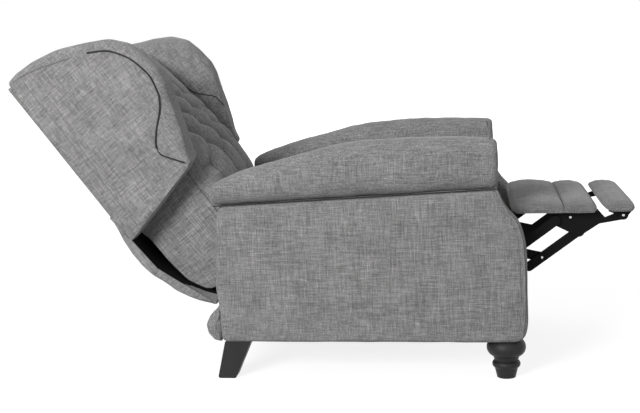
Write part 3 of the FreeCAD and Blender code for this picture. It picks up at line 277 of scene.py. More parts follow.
def spots_between(spots, steps):
    """The line through the spots with each stretch cut into steps."""
    result = []
    for first, second in zip(spots, spots[1:]):
        result += [first.lerp(second, step / steps) for step in range(steps)]
    return result + [spots[-1]]


def smoothed(spots, rounds):
    """A closed outline with its corners worn off, a little more each round."""
    count = len(spots)
    for _ in range(rounds):
        spots = [(spots[i - 1] + spots[i] * 2 + spots[(i + 1) % count]) / 4
                 for i in range(count)]
    return spots


def resampled(points, count, rounds):
    """A closed outline with evenly spaced points and its corners rounded off."""
    spots = [Vector(point) for point in points]
    spots.append(spots[0])
    lengths = [(b - a).length for a, b in zip(spots, spots[1:])]
    total = sum(lengths)
    result = []
    for index in range(count):
        rest = total * index / count
        stretch = 0
        while rest > lengths[stretch]:
            rest -= lengths[stretch]
            stretch += 1
        result.append(spots[stretch].lerp(spots[stretch + 1], rest / lengths[stretch]))
    return smoothed(result, rounds)


def inset(outline, distance):
    """The outline moved inwards; it runs anticlockwise."""
    count = len(outline)
    result = []
    for index, spot in enumerate(outline):
        way = (outline[(index + 1) % count] - outline[index - 1]).normalized()
        result.append(spot + Vector((-way.y, way.x)) * distance)
    return result


def shrunk(outline, share):
    """The outline drawn in towards its middle."""
    middle = sum(outline, Vector((0, 0))) / len(outline)
    return [middle + (spot - middle) * share for spot in outline]


def anticlockwise(points):
    area = sum(a[0] * b[1] - b[0] * a[1] for a, b in zip(points, list(points[1:]) + [points[0]]))
    return list(points) if area > 0 else list(reversed(points))


def smooth_object(name, mesh, material):
    """The mesh as an object of the scene, shaded smooth and in one material."""
    for face in mesh.polygons:
        face.use_smooth = True
    item = bpy.data.objects.new(name, mesh)
    bpy.context.scene.collection.objects.link(item)
    mesh.materials.clear()
    mesh.materials.append(MATERIALS[material])
    return item


def mesh_object(name, vertices, faces, material):
    """A piece from its points and faces, with every face turned outwards."""
    mesh = bpy.data.meshes.new(name)
    mesh.from_pydata([tuple(vertex) for vertex in vertices], [], faces)
    work = bmesh.new()
    work.from_mesh(mesh)
    bmesh.ops.recalc_face_normals(work, faces=work.faces)
    work.to_mesh(mesh)
    work.free()
    return smooth_object(name, mesh, material)


def sphere_group(name, shapes, radius, segments, rings, material):
    """Flattened spheres, one for each matrix, as loose parts of one piece."""
    work = bmesh.new()
    for shape in shapes:
        bmesh.ops.create_uvsphere(work, u_segments=segments, v_segments=rings, radius=radius,
                                  matrix=shape)
    mesh = bpy.data.meshes.new(name)
    work.to_mesh(mesh)
    work.free()
    return smooth_object(name, mesh, material)


def grid_faces(columns, rows):
    """The faces between points that run row by row."""
    faces = []
    for row in range(rows):
        for column in range(columns):
            first = row * (columns + 1) + column
            faces.append((first, first + 1, first + columns + 2, first + columns + 1))
    return faces


def drawn_in(ring, shares, bow=0.0):
    """Copies of a ring drawn in towards its middle, and bowed forward if asked."""
    middle = sum(ring, Vector()) / len(ring)
    return [[middle + (spot - middle) * share + Vector((bow * (1 - share), 0, 0))
             for spot in ring] for share in shares]


def snapped(piece, line, steps):
    """Spots along a line, each moved to the nearest place on the piece."""
    return [piece.closest_point_on_mesh(spot)[1] for spot in spots_between(line, steps)]


def from_rings(name, rings, material):
    """A closed solid through rings of the same count, its ends closed by fans."""
    count = len(rings[0])
    vertices = [spot for ring in rings for spot in ring]
    faces = []
    for row in range(len(rings) - 1):
        for index in range(count):
            following = (index + 1) % count
            faces.append((row * count + index, row * count + following,
                          (row + 1) * count + following, (row + 1) * count + index))
    for row in (0, len(rings) - 1):
        middle = sum(rings[row], Vector()) / count
        vertices.append(middle)
        for index in range(count):
            following = (index + 1) % count
            faces.append((row * count + index, row * count + following, len(vertices) - 1))
    return mesh_object(name, vertices, faces, material)


FINE_RUFFLE_SHARE = 0.5
FINE_RUFFLE_SCALE = 2.3


def ruffle(item, amount, size, seed):
    """Push the surface in and out a little, as cloth over foam is never flat."""
    mesh = item.data
    moves = []
    for vertex in mesh.vertices:
        spot = vertex.co
        coarse = Vector((spot.x / size + seed, spot.y / size, spot.z / size))
        fine = Vector((spot.x / size, spot.y / size + seed, spot.z / size)) * FINE_RUFFLE_SCALE
        value = noise.noise(coarse) + FINE_RUFFLE_SHARE * noise.noise(fine)
        moves.append(vertex.normal * (amount * value))
    for vertex, move in zip(mesh.vertices, moves):
        vertex.co += move
    mesh.update()


# how far a face is drawn in, ring by ring, from its edge to its middle
FACE_STEPS = (0.93, 0.84, 0.72, 0.58, 0.42, 0.26, 0.12, 0.04)
QUARTER_STEPS = 6


def quarter(edge):
    """Inset and depth along a quarter round, from the face to the side."""
    result = []
    for index in range(QUARTER_STEPS + 1):
        angle = math.pi / 2 * index / QUARTER_STEPS
        result.append((edge * (1 - math.sin(angle)), edge * (1 - math.cos(angle))))
    return result


def padded_block(name, place, outline, low, high, edge, crown, material, layers=6):
    """A padded block: an outline across the chair, with rolled edges and crowned faces."""
    outline = anticlockwise(outline)
    face = inset(outline, edge)
    crowned = [(crown * (1 - share * share), shrunk(face, share)) for share in FACE_STEPS]
    rolled = [(depth, inset(outline, inwards)) for inwards, depth in quarter(edge)]
    stations = [(low - rise, ring) for rise, ring in reversed(crowned)]
    stations += [(low + depth, ring) for depth, ring in rolled]
    for index in range(1, layers):
        stations.append((low + edge + (high - low - 2 * edge) * index / layers, outline))
    stations += [(high - depth, ring) for depth, ring in reversed(rolled)]
    stations += [(high + rise, ring) for rise, ring in crowned]
    rings = [[place(s.x, across, s.y) for s in ring] for across, ring in stations]
    return from_rings(name, rings, material)


def tube(name, spots, radius, material, closed=False):
    """A thin round cord through the points."""
    curve = bpy.data.curves.new(name, "CURVE")
    curve.dimensions = "3D"
    curve.bevel_depth = radius
    curve.bevel_resolution = 3
    curve.use_fill_caps = True
    spline = curve.splines.new("NURBS")
    spline.points.add(len(spots) - 1)
    for point, spot in zip(spline.points, spots):
        point.co = (*spot, 1)
    spline.order_u = 3
    spline.use_endpoint_u = not closed
    spline.use_cyclic_u = closed
    holder = bpy.data.objects.new(name + "_line", curve)
    bpy.context.scene.collection.objects.link(holder)
    bpy.context.view_layer.update()
    depsgraph = bpy.context.evaluated_depsgraph_get()
    mesh = bpy.data.meshes.new_from_object(holder.evaluated_get(depsgraph))
    bpy.data.objects.remove(holder)
    mesh.name = name
    return smooth_object(name, mesh, material)


def settle(item, body, replaced=()):
    """Ride on a body and stand for the CAD nodes."""
    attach(item, body)
    if replaced:
        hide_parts(*replaced)


def curve_value(knots, at):
    """A smooth curve through the knots, read at a place."""
    if at <= knots[0][0]:
        return knots[0][1]
    for index in range(len(knots) - 1):
        if at <= knots[index + 1][0]:
            x0, y0 = knots[index]
            x1, y1 = knots[index + 1]
            before = knots[max(0, index - 1)]
            after = knots[min(len(knots) - 1, index + 2)]
            slope0 = (y1 - before[1]) / (x1 - before[0])
            slope1 = (after[1] - y0) / (after[0] - x0)
            span = x1 - x0
            t = (at - x0) / span
            return ((2 * t ** 3 - 3 * t * t + 1) * y0 + (t ** 3 - 2 * t * t + t) * span * slope0
                    + (3 * t * t - 2 * t ** 3) * y1 + (t ** 3 - t * t) * span * slope1)
    return knots[-1][1]


MATERIALS = make_materials()

# side panels, arms and rails

PANEL_OUTER = 0.345
PANEL_INNER = 0.2735
PANEL_EDGE = 0.010
PANEL_CROWN = 0.0018
PANEL = ((-0.256, 0.097), (0.486, 0.097), (0.503, 0.110), (0.509, 0.146), (0.507, 0.312),
         (0.502, 0.360), (0.489, 0.397), (0.459, 0.427), (0.444, 0.456), (0.438, 0.477),
         (-0.254, 0.443), (-0.262, 0.350), (-0.267, 0.240), (-0.259, 0.186))
PANEL_WELT = ((0.436, 0.474), (0.441, 0.456), (0.455, 0.428), (0.480, 0.400), (0.494, 0.362),
              (0.499, 0.312), (0.501, 0.250), (0.501, 0.146), (0.494, 0.112))
# how far behind the front edge each of the two lines lies, and its radius
PANEL_LINES = ((0.0, 0.0022), (0.011, 0.0014))
PANEL_LINE_ACROSS = PANEL_OUTER + 0.0002


def side_panel(name, sign):
    """The padded side with the welt and the seam behind its front edge."""
    place = side_place(sign)
    outline = resampled(PANEL, 260, 4)
    panel = padded_block(name + "_padded_side", place, outline, PANEL_INNER, PANEL_OUTER,
                         PANEL_EDGE, PANEL_CROWN, "linen")
    ruffle(panel, 0.0011, 0.11, seed=sign * 3.0)
    settle(panel, "chassis", [name + "_side_panel"])
    for offset, radius in PANEL_LINES:
        spots = [place(x - offset, PANEL_LINE_ACROSS, z) for x, z in PANEL_WELT]
        settle(tube("%s_front_welt_%d" % (name, offset * 1000), spots, radius, "linen"),
               "chassis")


INNER_LOW, INNER_HIGH = 0.2622, 0.2726
INNER_SHARE = 0.985
INNER_EDGE = 0.003


def inner_covers():
    """The padded cloth on the inner faces of both sides."""
    middle = sum((Vector(point) for point in PANEL), Vector((0, 0))) / len(PANEL)
    outline = [middle + (Vector(point) - middle) * INNER_SHARE for point in PANEL]
    for name, sign in SIDES.items():
        cover = padded_block(name + "_inner_cover", side_place(sign), resampled(outline, 200, 3),
                             INNER_LOW, INNER_HIGH, INNER_EDGE, 0.0, "linen", 2)
        ruffle(cover, 0.0007, 0.09, seed=sign * 13.0)
        settle(cover, "chassis", ["inner_panels"])


DUST_REAR, DUST_FRONT, DUST_HALF = -0.251, 0.349, 0.2612
DUST_LEVEL = 0.0985
DUST_SAG = 0.0007
DUST_WAVE, DUST_WAVE_SCALE = 0.0004, 18
DUST_THICKNESS = 0.0008
DUST_GRID = 60


def dust_cover():
    """The black cloth tacked under the base, slack between its rails."""
    vertices = []
    for row in range(DUST_GRID + 1):
        along = DUST_REAR + (DUST_FRONT - DUST_REAR) * row / DUST_GRID
        lengthwise = DUST_SAG * math.sin(math.pi * row / DUST_GRID)
        for column in range(DUST_GRID + 1):
            across = DUST_HALF * (2 * column / DUST_GRID - 1)
            sag = lengthwise * math.cos(math.pi / 2 * across / DUST_HALF)
            wave = DUST_WAVE * noise.noise(Vector((along * DUST_WAVE_SCALE,
                                                   across * DUST_WAVE_SCALE, 5.0)))
            vertices.append(Vector((along, across, DUST_LEVEL - sag + wave)))
    cloth = mesh_object("dust_cloth_cover", vertices, grid_faces(DUST_GRID, DUST_GRID), "dust")
    thick = cloth.modifiers.new("thickness", "SOLIDIFY")
    thick.thickness = DUST_THICKNESS
    settle(cloth, "chassis", ["dust_cover"])


ARM_MIDDLE = 0.300
ARM_HALF = 0.0492
ARM_REAR = -0.268
ARM_FRONT = 0.4375
ARM_CREST = ((-0.269, 0.498), (-0.199, 0.526), (-0.090, 0.556), (0.052, 0.590),
             (0.122, 0.598), (0.251, 0.604), (0.397, 0.601), (0.440, 0.598))
ARM_FOOT = ((-0.269, 0.4435), (0.440, 0.4775))
ARM_STATIONS = 90
ARM_NOSE = 0.016
ARM_REAR_EDGE, ARM_REAR_REACH = 0.004, 0.012
ARM_BOW = 0.0022
ARM_RING_COUNT = 56
# how square the section is at its sides, above its belly and below it
ARM_SIDE_POWER, ARM_CREST_POWER, ARM_FOOT_POWER = 0.72, 0.86, 0.55
# the foot is this much narrower, up to this share of the height
ARM_FOOT_NARROWING, ARM_FOOT_SHARE = 0.13, 0.36
# the seam: how far it stays from the rear and the front, inwards and up from the foot's edge
ARM_SEAM_REAR, ARM_SEAM_FRONT, ARM_SEAM_INSET, ARM_SEAM_UP = 0.006, 0.008, 0.0045, 0.0015
ARM_SEAM_STEPS = 39
ARM_SEAM_RADIUS = 0.0016


def arm_ring(sign, along, shrink):
    """The roll's cross-section: narrow foot, full belly, round crest."""
    bottom = curve_value(ARM_FOOT, along) + shrink * 0.35
    crest = curve_value(ARM_CREST, along) - shrink
    half = ARM_HALF - shrink
    height = crest - bottom
    ring = []
    for index in range(ARM_RING_COUNT):
        angle = 2 * math.pi * index / ARM_RING_COUNT
        across, up = math.cos(angle), math.sin(angle)
        bulge = math.copysign(abs(across) ** ARM_SIDE_POWER, across)
        lift = math.copysign(abs(up) ** (ARM_CREST_POWER if up > 0 else ARM_FOOT_POWER), up)
        share = (lift + 1) / 2
        narrow = 1 - ARM_FOOT_NARROWING * max(0.0, ARM_FOOT_SHARE - share) / ARM_FOOT_SHARE
        ring.append(Vector((along, sign * (ARM_MIDDLE + half * bulge * narrow),
                            bottom + height * share)))
    return ring


def arm_roll(name, sign):
    """The roll on a side, closed at both ends, with the seam along its foot."""
    rings = drawn_in(arm_ring(sign, ARM_REAR, ARM_REAR_EDGE), (0.1, 0.35, 0.62, 0.85))
    for index in range(ARM_STATIONS + 1):
        along = ARM_REAR + (ARM_FRONT - ARM_NOSE - ARM_REAR) * index / ARM_STATIONS
        near_rear = max(0.0, 1 - (along - ARM_REAR) / ARM_REAR_REACH)
        rings.append(arm_ring(sign, along, ARM_REAR_EDGE * near_rear ** 2))
    for inwards, depth in reversed(quarter(ARM_NOSE)):
        rings.append(arm_ring(sign, ARM_FRONT - depth, inwards * 0.7))
    rings += drawn_in(rings[-1], (0.8, 0.55, 0.3, 0.1), ARM_BOW)
    roll = from_rings(name + "_arm_roll", rings, "linen")
    ruffle(roll, 0.0016, 0.075, seed=sign * 5.0)
    ruffle(roll, 0.0008, 0.022, seed=sign * 9.0)
    settle(roll, "chassis", [name + "_arm_pad"])
    seam = []
    length = ARM_FRONT - ARM_SEAM_FRONT - ARM_REAR
    for index in range(ARM_SEAM_STEPS + 1):
        along = ARM_REAR + ARM_SEAM_REAR + length * index / ARM_SEAM_STEPS
        seam.append(Vector((along, sign * (ARM_MIDDLE + ARM_HALF - ARM_SEAM_INSET),
                            curve_value(ARM_FOOT, along) + ARM_SEAM_UP)))
    settle(tube(name + "_arm_seam", seam, ARM_SEAM_RADIUS, "welt"), "chassis")


REAR_ROLL = ((-0.2565, 0.0975), (-0.2565, 0.182), (-0.270, 0.177), (-0.286, 0.163),
             (-0.296, 0.141), (-0.291, 0.118), (-0.275, 0.101))
REAR_ROLL_HALF = 0.343
REAR_ROLL_EDGE = 0.012
REAR_ROLL_CROWN = 0.001


def rear_rail():
    """The padded rail between the sides, with its bulge at the back."""
    outline = resampled(REAR_ROLL, 90, 3)
    roll = padded_block("rear_rail_roll", chair_place, outline, -REAR_ROLL_HALF, REAR_ROLL_HALF,
                        REAR_ROLL_EDGE, REAR_ROLL_CROWN, "linen", 40)
    ruffle(roll, 0.0016, 0.06, seed=2.0)
    settle(roll, "chassis", ["rear_rail"])


# the back

# a wing's three outlines in side view, point for point: its edge, outer face and inner face
WING_SILHOUETTE = ((0.0, 0.308), (0.0, 0.326), (0.0, 0.560), (0.0, 0.814), (0.030, 0.820),
                   (0.085, 0.816), (0.155, 0.799), (0.228, 0.764), (0.281, 0.732),
                   (0.312, 0.694), (0.323, 0.645), (0.328, 0.600), (0.321, 0.566),
                   (0.304, 0.522), (0.289, 0.476), (0.272, 0.434), (0.254, 0.397),
                   (0.246, 0.362), (0.119, 0.335), (0.016, 0.3110))
WING_OUTER = ((0.001, 0.309), (0.001, 0.327), (0.001, 0.560), (0.001, 0.806), (0.028, 0.804),
              (0.073, 0.796), (0.140, 0.771), (0.217, 0.740), (0.263, 0.711), (0.294, 0.661),
              (0.306, 0.598), (0.293, 0.546), (0.271, 0.516), (0.231, 0.484),
              (0.204, 0.455), (0.199, 0.430), (0.221, 0.397), (0.243, 0.366),
              (0.119, 0.336), (0.017, 0.3120))
WING_INNER = ((0.004, 0.312), (0.004, 0.330), (0.004, 0.560), (0.004, 0.800), (0.030, 0.806),
              (0.085, 0.802), (0.155, 0.784), (0.221, 0.752), (0.273, 0.718), (0.304, 0.684),
              (0.319, 0.640), (0.327, 0.596), (0.322, 0.560), (0.306, 0.520),
              (0.291, 0.480), (0.277, 0.442), (0.262, 0.408), (0.253, 0.374),
              (0.119, 0.338), (0.020, 0.3150))
WING_COUNT = 240
# places across the chair: the outer face, where its roll starts and how deep it is, the edge
# and the depth behind it, and the last two rings of the inner face
WING_FACE, WING_CROWN = 0.3285, 0.004
WING_ROLL_START, WING_ROLL = 0.328, 0.022
WING_EDGE, WING_DEPTH = 0.306, 0.052
WING_INNER_RING, WING_INNER_FACE = 0.2465, 0.2435
WING_ROLL_POWER, WING_INNER_POWER = 0.8, 1.6
WING_ROLL_STEPS, WING_INNER_STEPS = 8, 6
# label, first and last point of the outer outline, spots left out, radius, material
WING_TUBES = (("welt", 7, 17, 0, 0.0023, "welt"), ("top_seam", 3, 7, 14, 0.0006, "cord"))
WING_TUBE_ACROSS = 0.3294


def matched(points, count, rounds):
    """An outline resampled stretch by stretch, so that three outlines keep in step."""
    spots = [Vector(point) for point in points]
    per = count // len(spots)
    result = []
    for index, spot in enumerate(spots):
        following = spots[(index + 1) % len(spots)]
        result += [spot.lerp(following, step / per) for step in range(per)]
    return smoothed(result, rounds)


def wing(name, sign):
    """A wing, with the welt and the seams on it."""
    outer = matched(WING_OUTER, WING_COUNT, 6)
    middle = matched(WING_SILHOUETTE, WING_COUNT, 6)
    inner = matched(WING_INNER, WING_COUNT, 8)
    stations = []
    for share in reversed(FACE_STEPS):
        stations.append((WING_FACE + WING_CROWN * (1 - share * share), shrunk(outer, share)))
    stations.append((WING_ROLL_START, outer))
    for step in range(1, WING_ROLL_STEPS + 1):
        turn = math.pi / 2 * step / WING_ROLL_STEPS
        mix = math.sin(turn) ** WING_ROLL_POWER
        across = WING_ROLL_START - WING_ROLL * (1 - clamped(math.cos(turn)) ** WING_ROLL_POWER)
        stations.append((across, [a.lerp(b, mix) for a, b in zip(outer, middle)]))
    for step in range(1, WING_INNER_STEPS + 1):
        mix = step / WING_INNER_STEPS
        across = WING_EDGE - WING_DEPTH * mix
        mix = mix ** WING_INNER_POWER
        stations.append((across, [a.lerp(b, mix) for a, b in zip(middle, inner)]))
    stations.append((WING_INNER_RING, shrunk(inner, 0.985)))
    for share in FACE_STEPS:
        stations.append((WING_INNER_FACE, shrunk(inner, 0.97 * share)))
    rings = [[back_place(s.x, sign * across, s.y) for s in ring] for across, ring in stations]
    piece = from_rings(name + "_wing_pad", rings, "linen_back_painted_light")
    ruffle(piece, 0.0016, 0.09, seed=sign * 4.0)
    settle(piece, "back", [name + "_wing"])
    per = WING_COUNT // len(WING_OUTER)
    for label, first, last, skip, radius, finish in WING_TUBES:
        stretch = outer[first * per + skip:last * per - 2]
        spots = [back_place(s.x, sign * WING_TUBE_ACROSS, s.y) for s in stretch[::4]]
        settle(tube("%s_wing_%s" % (name, label), spots, radius, finish), "back")
    wing_seams(name, sign, piece)


FACE_SEAM = ((0.222, 0.604), (0.229, 0.584), (0.236, 0.565), (0.246, 0.546), (0.263, 0.528),
             (0.279, 0.511), (0.290, 0.490), (0.293, 0.467))
FACE_SEAM_ACROSS = 0.22
REAR_SEAM_FORWARD, REAR_SEAM_UP, REAR_SEAM_RISE = 0.036, 0.318, 0.0425
REAR_SEAM_LEAN = 0.003
REAR_SEAM_STEPS = 11
REAR_SEAM_ACROSS = 0.3300


def wing_seams(name, sign, piece):
    """The seam along the rear of the wing's outer panel, and the one across its inner face."""
    rear = [back_place(REAR_SEAM_FORWARD + REAR_SEAM_LEAN * step / REAR_SEAM_STEPS,
                       sign * REAR_SEAM_ACROSS, REAR_SEAM_UP + REAR_SEAM_RISE * step)
            for step in range(REAR_SEAM_STEPS + 1)]
    face = [back_place(t, sign * FACE_SEAM_ACROSS, s) for t, s in FACE_SEAM]
    for label, line, radius, finish in (("rear", rear, 0.0009, "cord"),
                                        ("face", face, 0.0016, "welt")):
        settle(tube("%s_wing_seam_%s" % (name, label), snapped(piece, line, 4), radius, finish),
               "back")


CORE = ((0.064, 0.080), (0.197, 0.085), (0.199, 0.230), (0.199, 0.746), (0.150, 0.774),
        (0.080, 0.791), (0.002, 0.796), (0.002, 0.312), (0.009, 0.300), (0.012, 0.243),
        (0.015, 0.185), (0.0215, 0.140), (0.036, 0.110), (0.052, 0.086))
CORE_HALF = 0.2412
CORE_EDGE = 0.003
OUTSIDE = ((-0.0073, 0.332), (-0.0003, 0.332), (-0.0003, 0.803), (-0.0073, 0.803))
OUTSIDE_HALF = 0.3225
OUTSIDE_EDGE = 0.0018


def back_core():
    """The padded core of the back, and the panel over its outside."""
    outline = resampled(CORE, 220, 3)
    core = padded_block("back_core_pad", back_place, outline, -CORE_HALF, CORE_HALF, CORE_EDGE,
                        0.0, "linen_back_painted_light", 24)
    ruffle(core, 0.0016, 0.05, seed=7.0)
    settle(core, "back", ["back_core"])
    outline = resampled(OUTSIDE, 120, 1)
    panel = padded_block("outside_back", back_place, outline, -OUTSIDE_HALF, OUTSIDE_HALF,
                         OUTSIDE_EDGE, 0.0, "linen_back_painted_light", 60)
    settle(panel, "back", ["back_outside_panel"])


FLAP_OUTER = ((-0.0088, 0.392), (-0.0106, 0.370), (-0.0148, 0.346), (-0.0200, 0.318),
              (-0.0233, 0.283), (-0.0228, 0.243), (-0.0165, 0.209), (-0.0035, 0.173),
              (0.0080, 0.138), (0.0230, 0.108), (0.0405, 0.080), (0.0665, 0.046))
# the flap's thickness and the width of its hem, by the place up the back
FLAP_THICKNESS = ((0.340, 0.009), (0.395, 0.0022))
FLAP_HEM = ((0.125, 0.064), (0.150, 0.036), (0.190, 0.020), (0.300, 0.015))
FLAP_HALF = 0.3235
FLAP_EDGE = 0.004
# a face that looks forward by more than this is painted black as shade, where the hem leaves it
# free
FLAP_SHADE_FACING = 0.35


def rear_flap():
    """The cloth under the outside of the back, hemmed at its edges, with painted shade in black
    cloth on its inner face.
    """
    outer = [Vector(point) for point in FLAP_OUTER]
    inner, length = [], 0.0
    for index, spot in enumerate(outer):
        before, after = outer[max(0, index - 1)], outer[min(len(outer) - 1, index + 1)]
        way = (after - before).normalized()
        inner.append(spot + Vector((-way.y, way.x)) * curve_value(FLAP_THICKNESS, spot.y))
        if index:
            length += (spot - outer[index - 1]).length
    outline = resampled(outer + list(reversed(inner)), 180, 2)
    flap = padded_block("outside_flap", back_place, outline, -FLAP_HALF, FLAP_HALF, FLAP_EDGE,
                        0.0, "linen_back_painted_light", 60)
    ruffle(flap, 0.0016, 0.07, seed=11.0)
    # the black cloth on the inner face is painted shade: the inside of the flap lies in shadow
    flap.data.materials.append(MATERIALS["dust"])
    forward = back_place(1, 0, 0) - back_place(0, 0, 0)
    upward = back_place(0, 0, 1) - back_place(0, 0, 0)
    for face in flap.data.polygons:
        inside = face.normal.dot(forward) > FLAP_SHADE_FACING
        up = (face.center - BACK_FOOT).dot(upward)
        if inside and abs(face.center.y) < FLAP_HALF - curve_value(FLAP_HEM, up):
            face.material_index = 1
    settle(flap, "back", ["rear_flap"])


CUSHION_FACE = 0.2003
CUSHION_LOW, CUSHION_HIGH = 0.233, 0.721
CUSHION_HALF = 0.2406
CUSHION_DEPTHS = ((0.233, 0.064), (0.290, 0.078), (0.385, 0.085), (0.480, 0.080),
                  (0.600, 0.059), (0.721, 0.027))
# how much lower the face lies at its sides, by the place up the back
CUSHION_SIDE_SHARE = ((0.340, 0.30), (0.460, 0.45))
CUSHION_SIDE_POWER, CUSHION_END_POWER, PILLOW_END_POWER = 11, 12, 6
CUSHION_RIM = 0.003
CUSHION_WAVE, CUSHION_WAVE_SCALE = 0.0014, 26
CUSHION_COLUMNS, CUSHION_ROWS = 190, 210
TUFT_ACROSS, TUFT_UP, TUFT_FIRST, TUFT_LAST = 0.116, 0.058, 0.344, 0.576
TUFT_OUTER = 0.174
PILLOW = 0.034
# how deep and how sharp the folds are: between the pillows, where two cross, the pleats below
# the tufts, and the pleats beside them
FOLD_DEPTH, FOLD_SHARP, CROSS_DEPTH = 0.58, 0.46, 0.10
PLEAT_DEPTH, PLEAT_SHARP = 0.72, 0.36
SIDE_DEPTH, SIDE_SHARP = 0.74, 0.33
# over what length the pillows change into what lies below, beside and above them
BLEND_BELOW, BLEND_BESIDE, BLEND_ABOVE = 0.035, 0.022, 0.055


def fold(value, sharp):
    """How far a place lies from the nearest fold, from 0 on it to 1 between two."""
    return abs(math.sin(math.pi * value)) ** sharp


def tufted_height(across, up):
    """The pillows between the tufts, with pleats below and beside them, smooth above."""
    u = (across - TUFT_ACROSS / 2) / TUFT_ACROSS
    rise = clamped((up - TUFT_FIRST) / (TUFT_LAST - TUFT_FIRST))
    v = rise * (TUFT_LAST - TUFT_FIRST) / (2 * TUFT_UP)
    first, second = fold(u + v, FOLD_SHARP), fold(u - v, FOLD_SHARP)
    deep = (1 - FOLD_DEPTH * (1 - first) - FOLD_DEPTH * (1 - second)
            - CROSS_DEPTH * (1 - first) * (1 - second))
    pleat = 1 - PLEAT_DEPTH * (1 - fold(u, PLEAT_SHARP))
    below = clamped((TUFT_FIRST - up) / BLEND_BELOW)
    deep += (pleat - deep) * below
    beside = clamped((abs(across) - TUFT_OUTER) / BLEND_BESIDE)
    side = 1 - SIDE_DEPTH * (1 - fold(rise * 2, SIDE_SHARP))
    deep += (side - deep) * beside * (1 - below)
    above = clamped((up - TUFT_LAST) / BLEND_ABOVE)
    return deep + (1 - deep) * above


def cushion_front(across, up):
    """How far forward the face of the back cushion lies."""
    along = (2 * up - CUSHION_LOW - CUSHION_HIGH) / (CUSHION_HIGH - CUSHION_LOW)
    side = across / CUSHION_HALF
    drop = curve_value(CUSHION_SIDE_SHARE, up) * side * side
    base = curve_value(CUSHION_DEPTHS, up) * (1 - drop)
    rounding = math.sqrt(clamped(1 - abs(side) ** CUSHION_SIDE_POWER)
                         * clamped(1 - abs(along) ** CUSHION_END_POWER))
    height = base - (PILLOW * (1 - tufted_height(across, up))
                     * (1 - abs(along) ** PILLOW_END_POWER))
    height += CUSHION_WAVE * noise.noise(Vector((across * CUSHION_WAVE_SCALE,
                                                 up * CUSHION_WAVE_SCALE, 1.0)))
    return CUSHION_FACE + CUSHION_RIM + max(0.0, height - CUSHION_RIM) * rounding


def back_cushion():
    """The tufted cushion: a grid for its face, walls round the rim and a flat rear."""
    columns, rows = CUSHION_COLUMNS, CUSHION_ROWS

    def grid_spot(row, column):
        up = CUSHION_LOW + (CUSHION_HIGH - CUSHION_LOW) * row / rows
        return CUSHION_HALF * (2 * column / columns - 1), up

    vertices = []
    for row in range(rows + 1):
        for column in range(columns + 1):
            across, up = grid_spot(row, column)
            vertices.append(back_place(cushion_front(across, up), across, up))
    faces = grid_faces(columns, rows)
    rim = list(range(columns + 1))
    rim += [row * (columns + 1) + columns for row in range(1, rows + 1)]
    rim += [rows * (columns + 1) + column for column in range(columns - 1, -1, -1)]
    rim += [row * (columns + 1) for row in range(rows - 1, 0, -1)]
    start = len(vertices)
    for index in rim:
        across, up = grid_spot(*divmod(index, columns + 1))
        vertices.append(back_place(CUSHION_FACE, across, up))
    count = len(rim)
    for index in range(count):
        following = (index + 1) % count
        faces.append((rim[index], rim[following], start + following, start + index))
    faces.append(tuple(start + index for index in range(count)))
    cushion = mesh_object("tufted_cushion", vertices, faces, "linen_back_painted_light")
    settle(cushion, "back", ["back_cushion"])
    tuft_buttons()


TUFT_BUTTON_RADIUS = 0.009
TUFT_BUTTON_SHAPE = Matrix.Diagonal((0.45, 1, 1, 1))
TUFT_BUTTON_LIFT = 0.001


def tuft_buttons():
    """Cloth-covered buttons at the bottom of each tuft, in rows of four and three."""
    turn = Matrix.Rotation(-BACK_TILT, 4, "Y") @ TUFT_BUTTON_SHAPE
    shapes = []
    row, up = 0, TUFT_FIRST
    while up < TUFT_LAST + TUFT_UP / 2:
        count = 4 - row % 2
        for column in range(count):
            across = (column - (count - 1) / 2) * TUFT_ACROSS
            spot = back_place(cushion_front(across, up) + TUFT_BUTTON_LIFT, across, up)
            shapes.append(Matrix.Translation(spot) @ turn)
        row += 1
        up += TUFT_UP
    item = sphere_group("covered_buttons", shapes, TUFT_BUTTON_RADIUS, 20, 12, "linen_back_painted_light")
    settle(item, "back", ["tuft_buttons"])


# seat and footrest

SWELL_FRAMES = 20
SWELL_VOXEL = 0.005
SWELL_PRESSURE = 4.0


def swell(item, cap, hold):
    """Fill a cushion out by a cloth simulation, up to the cap; what is held stays put."""
    bpy.context.view_layer.objects.active = item
    remesh = item.modifiers.new("even", "REMESH")
    remesh.mode = "VOXEL"
    remesh.voxel_size = SWELL_VOXEL
    depsgraph = bpy.context.evaluated_depsgraph_get()
    mesh = bpy.data.meshes.new_from_object(item.evaluated_get(depsgraph))
    item.modifiers.clear()
    item.data = mesh
    start = [vertex.co.copy() for vertex in mesh.vertices]
    group = item.vertex_groups.new(name="held")
    held = [vertex.index for vertex in mesh.vertices if hold(vertex.co)]
    group.add(held, 1.0, "REPLACE")
    cloth = item.modifiers.new("fill", "CLOTH")
    cloth.settings.quality = 5
    cloth.settings.use_pressure = True
    cloth.settings.uniform_pressure_force = SWELL_PRESSURE
    cloth.settings.effector_weights.gravity = 0.0
    cloth.settings.vertex_group_mass = "held"
    scene = bpy.context.scene
    for step in range(1, SWELL_FRAMES + 1):
        scene.frame_set(step)
    depsgraph = bpy.context.evaluated_depsgraph_get()
    shape = item.evaluated_get(depsgraph).to_mesh()
    ends = [vertex.co.copy() for vertex in shape.vertices]
    item.evaluated_get(depsgraph).to_mesh_clear()
    item.modifiers.clear()
    scene.frame_set(1)
    for vertex, before, after in zip(mesh.vertices, start, ends):
        move = after - before
        if move.length > cap:
            move = move.normalized() * cap
        vertex.co = before + move
    smooth = item.modifiers.new("smooth", "SUBSURF")
    smooth.levels = 1
    depsgraph = bpy.context.evaluated_depsgraph_get()
    fine = bpy.data.meshes.new_from_object(item.evaluated_get(depsgraph))
    item.modifiers.clear()
    item.data = fine
    for face in fine.polygons:
        face.use_smooth = True


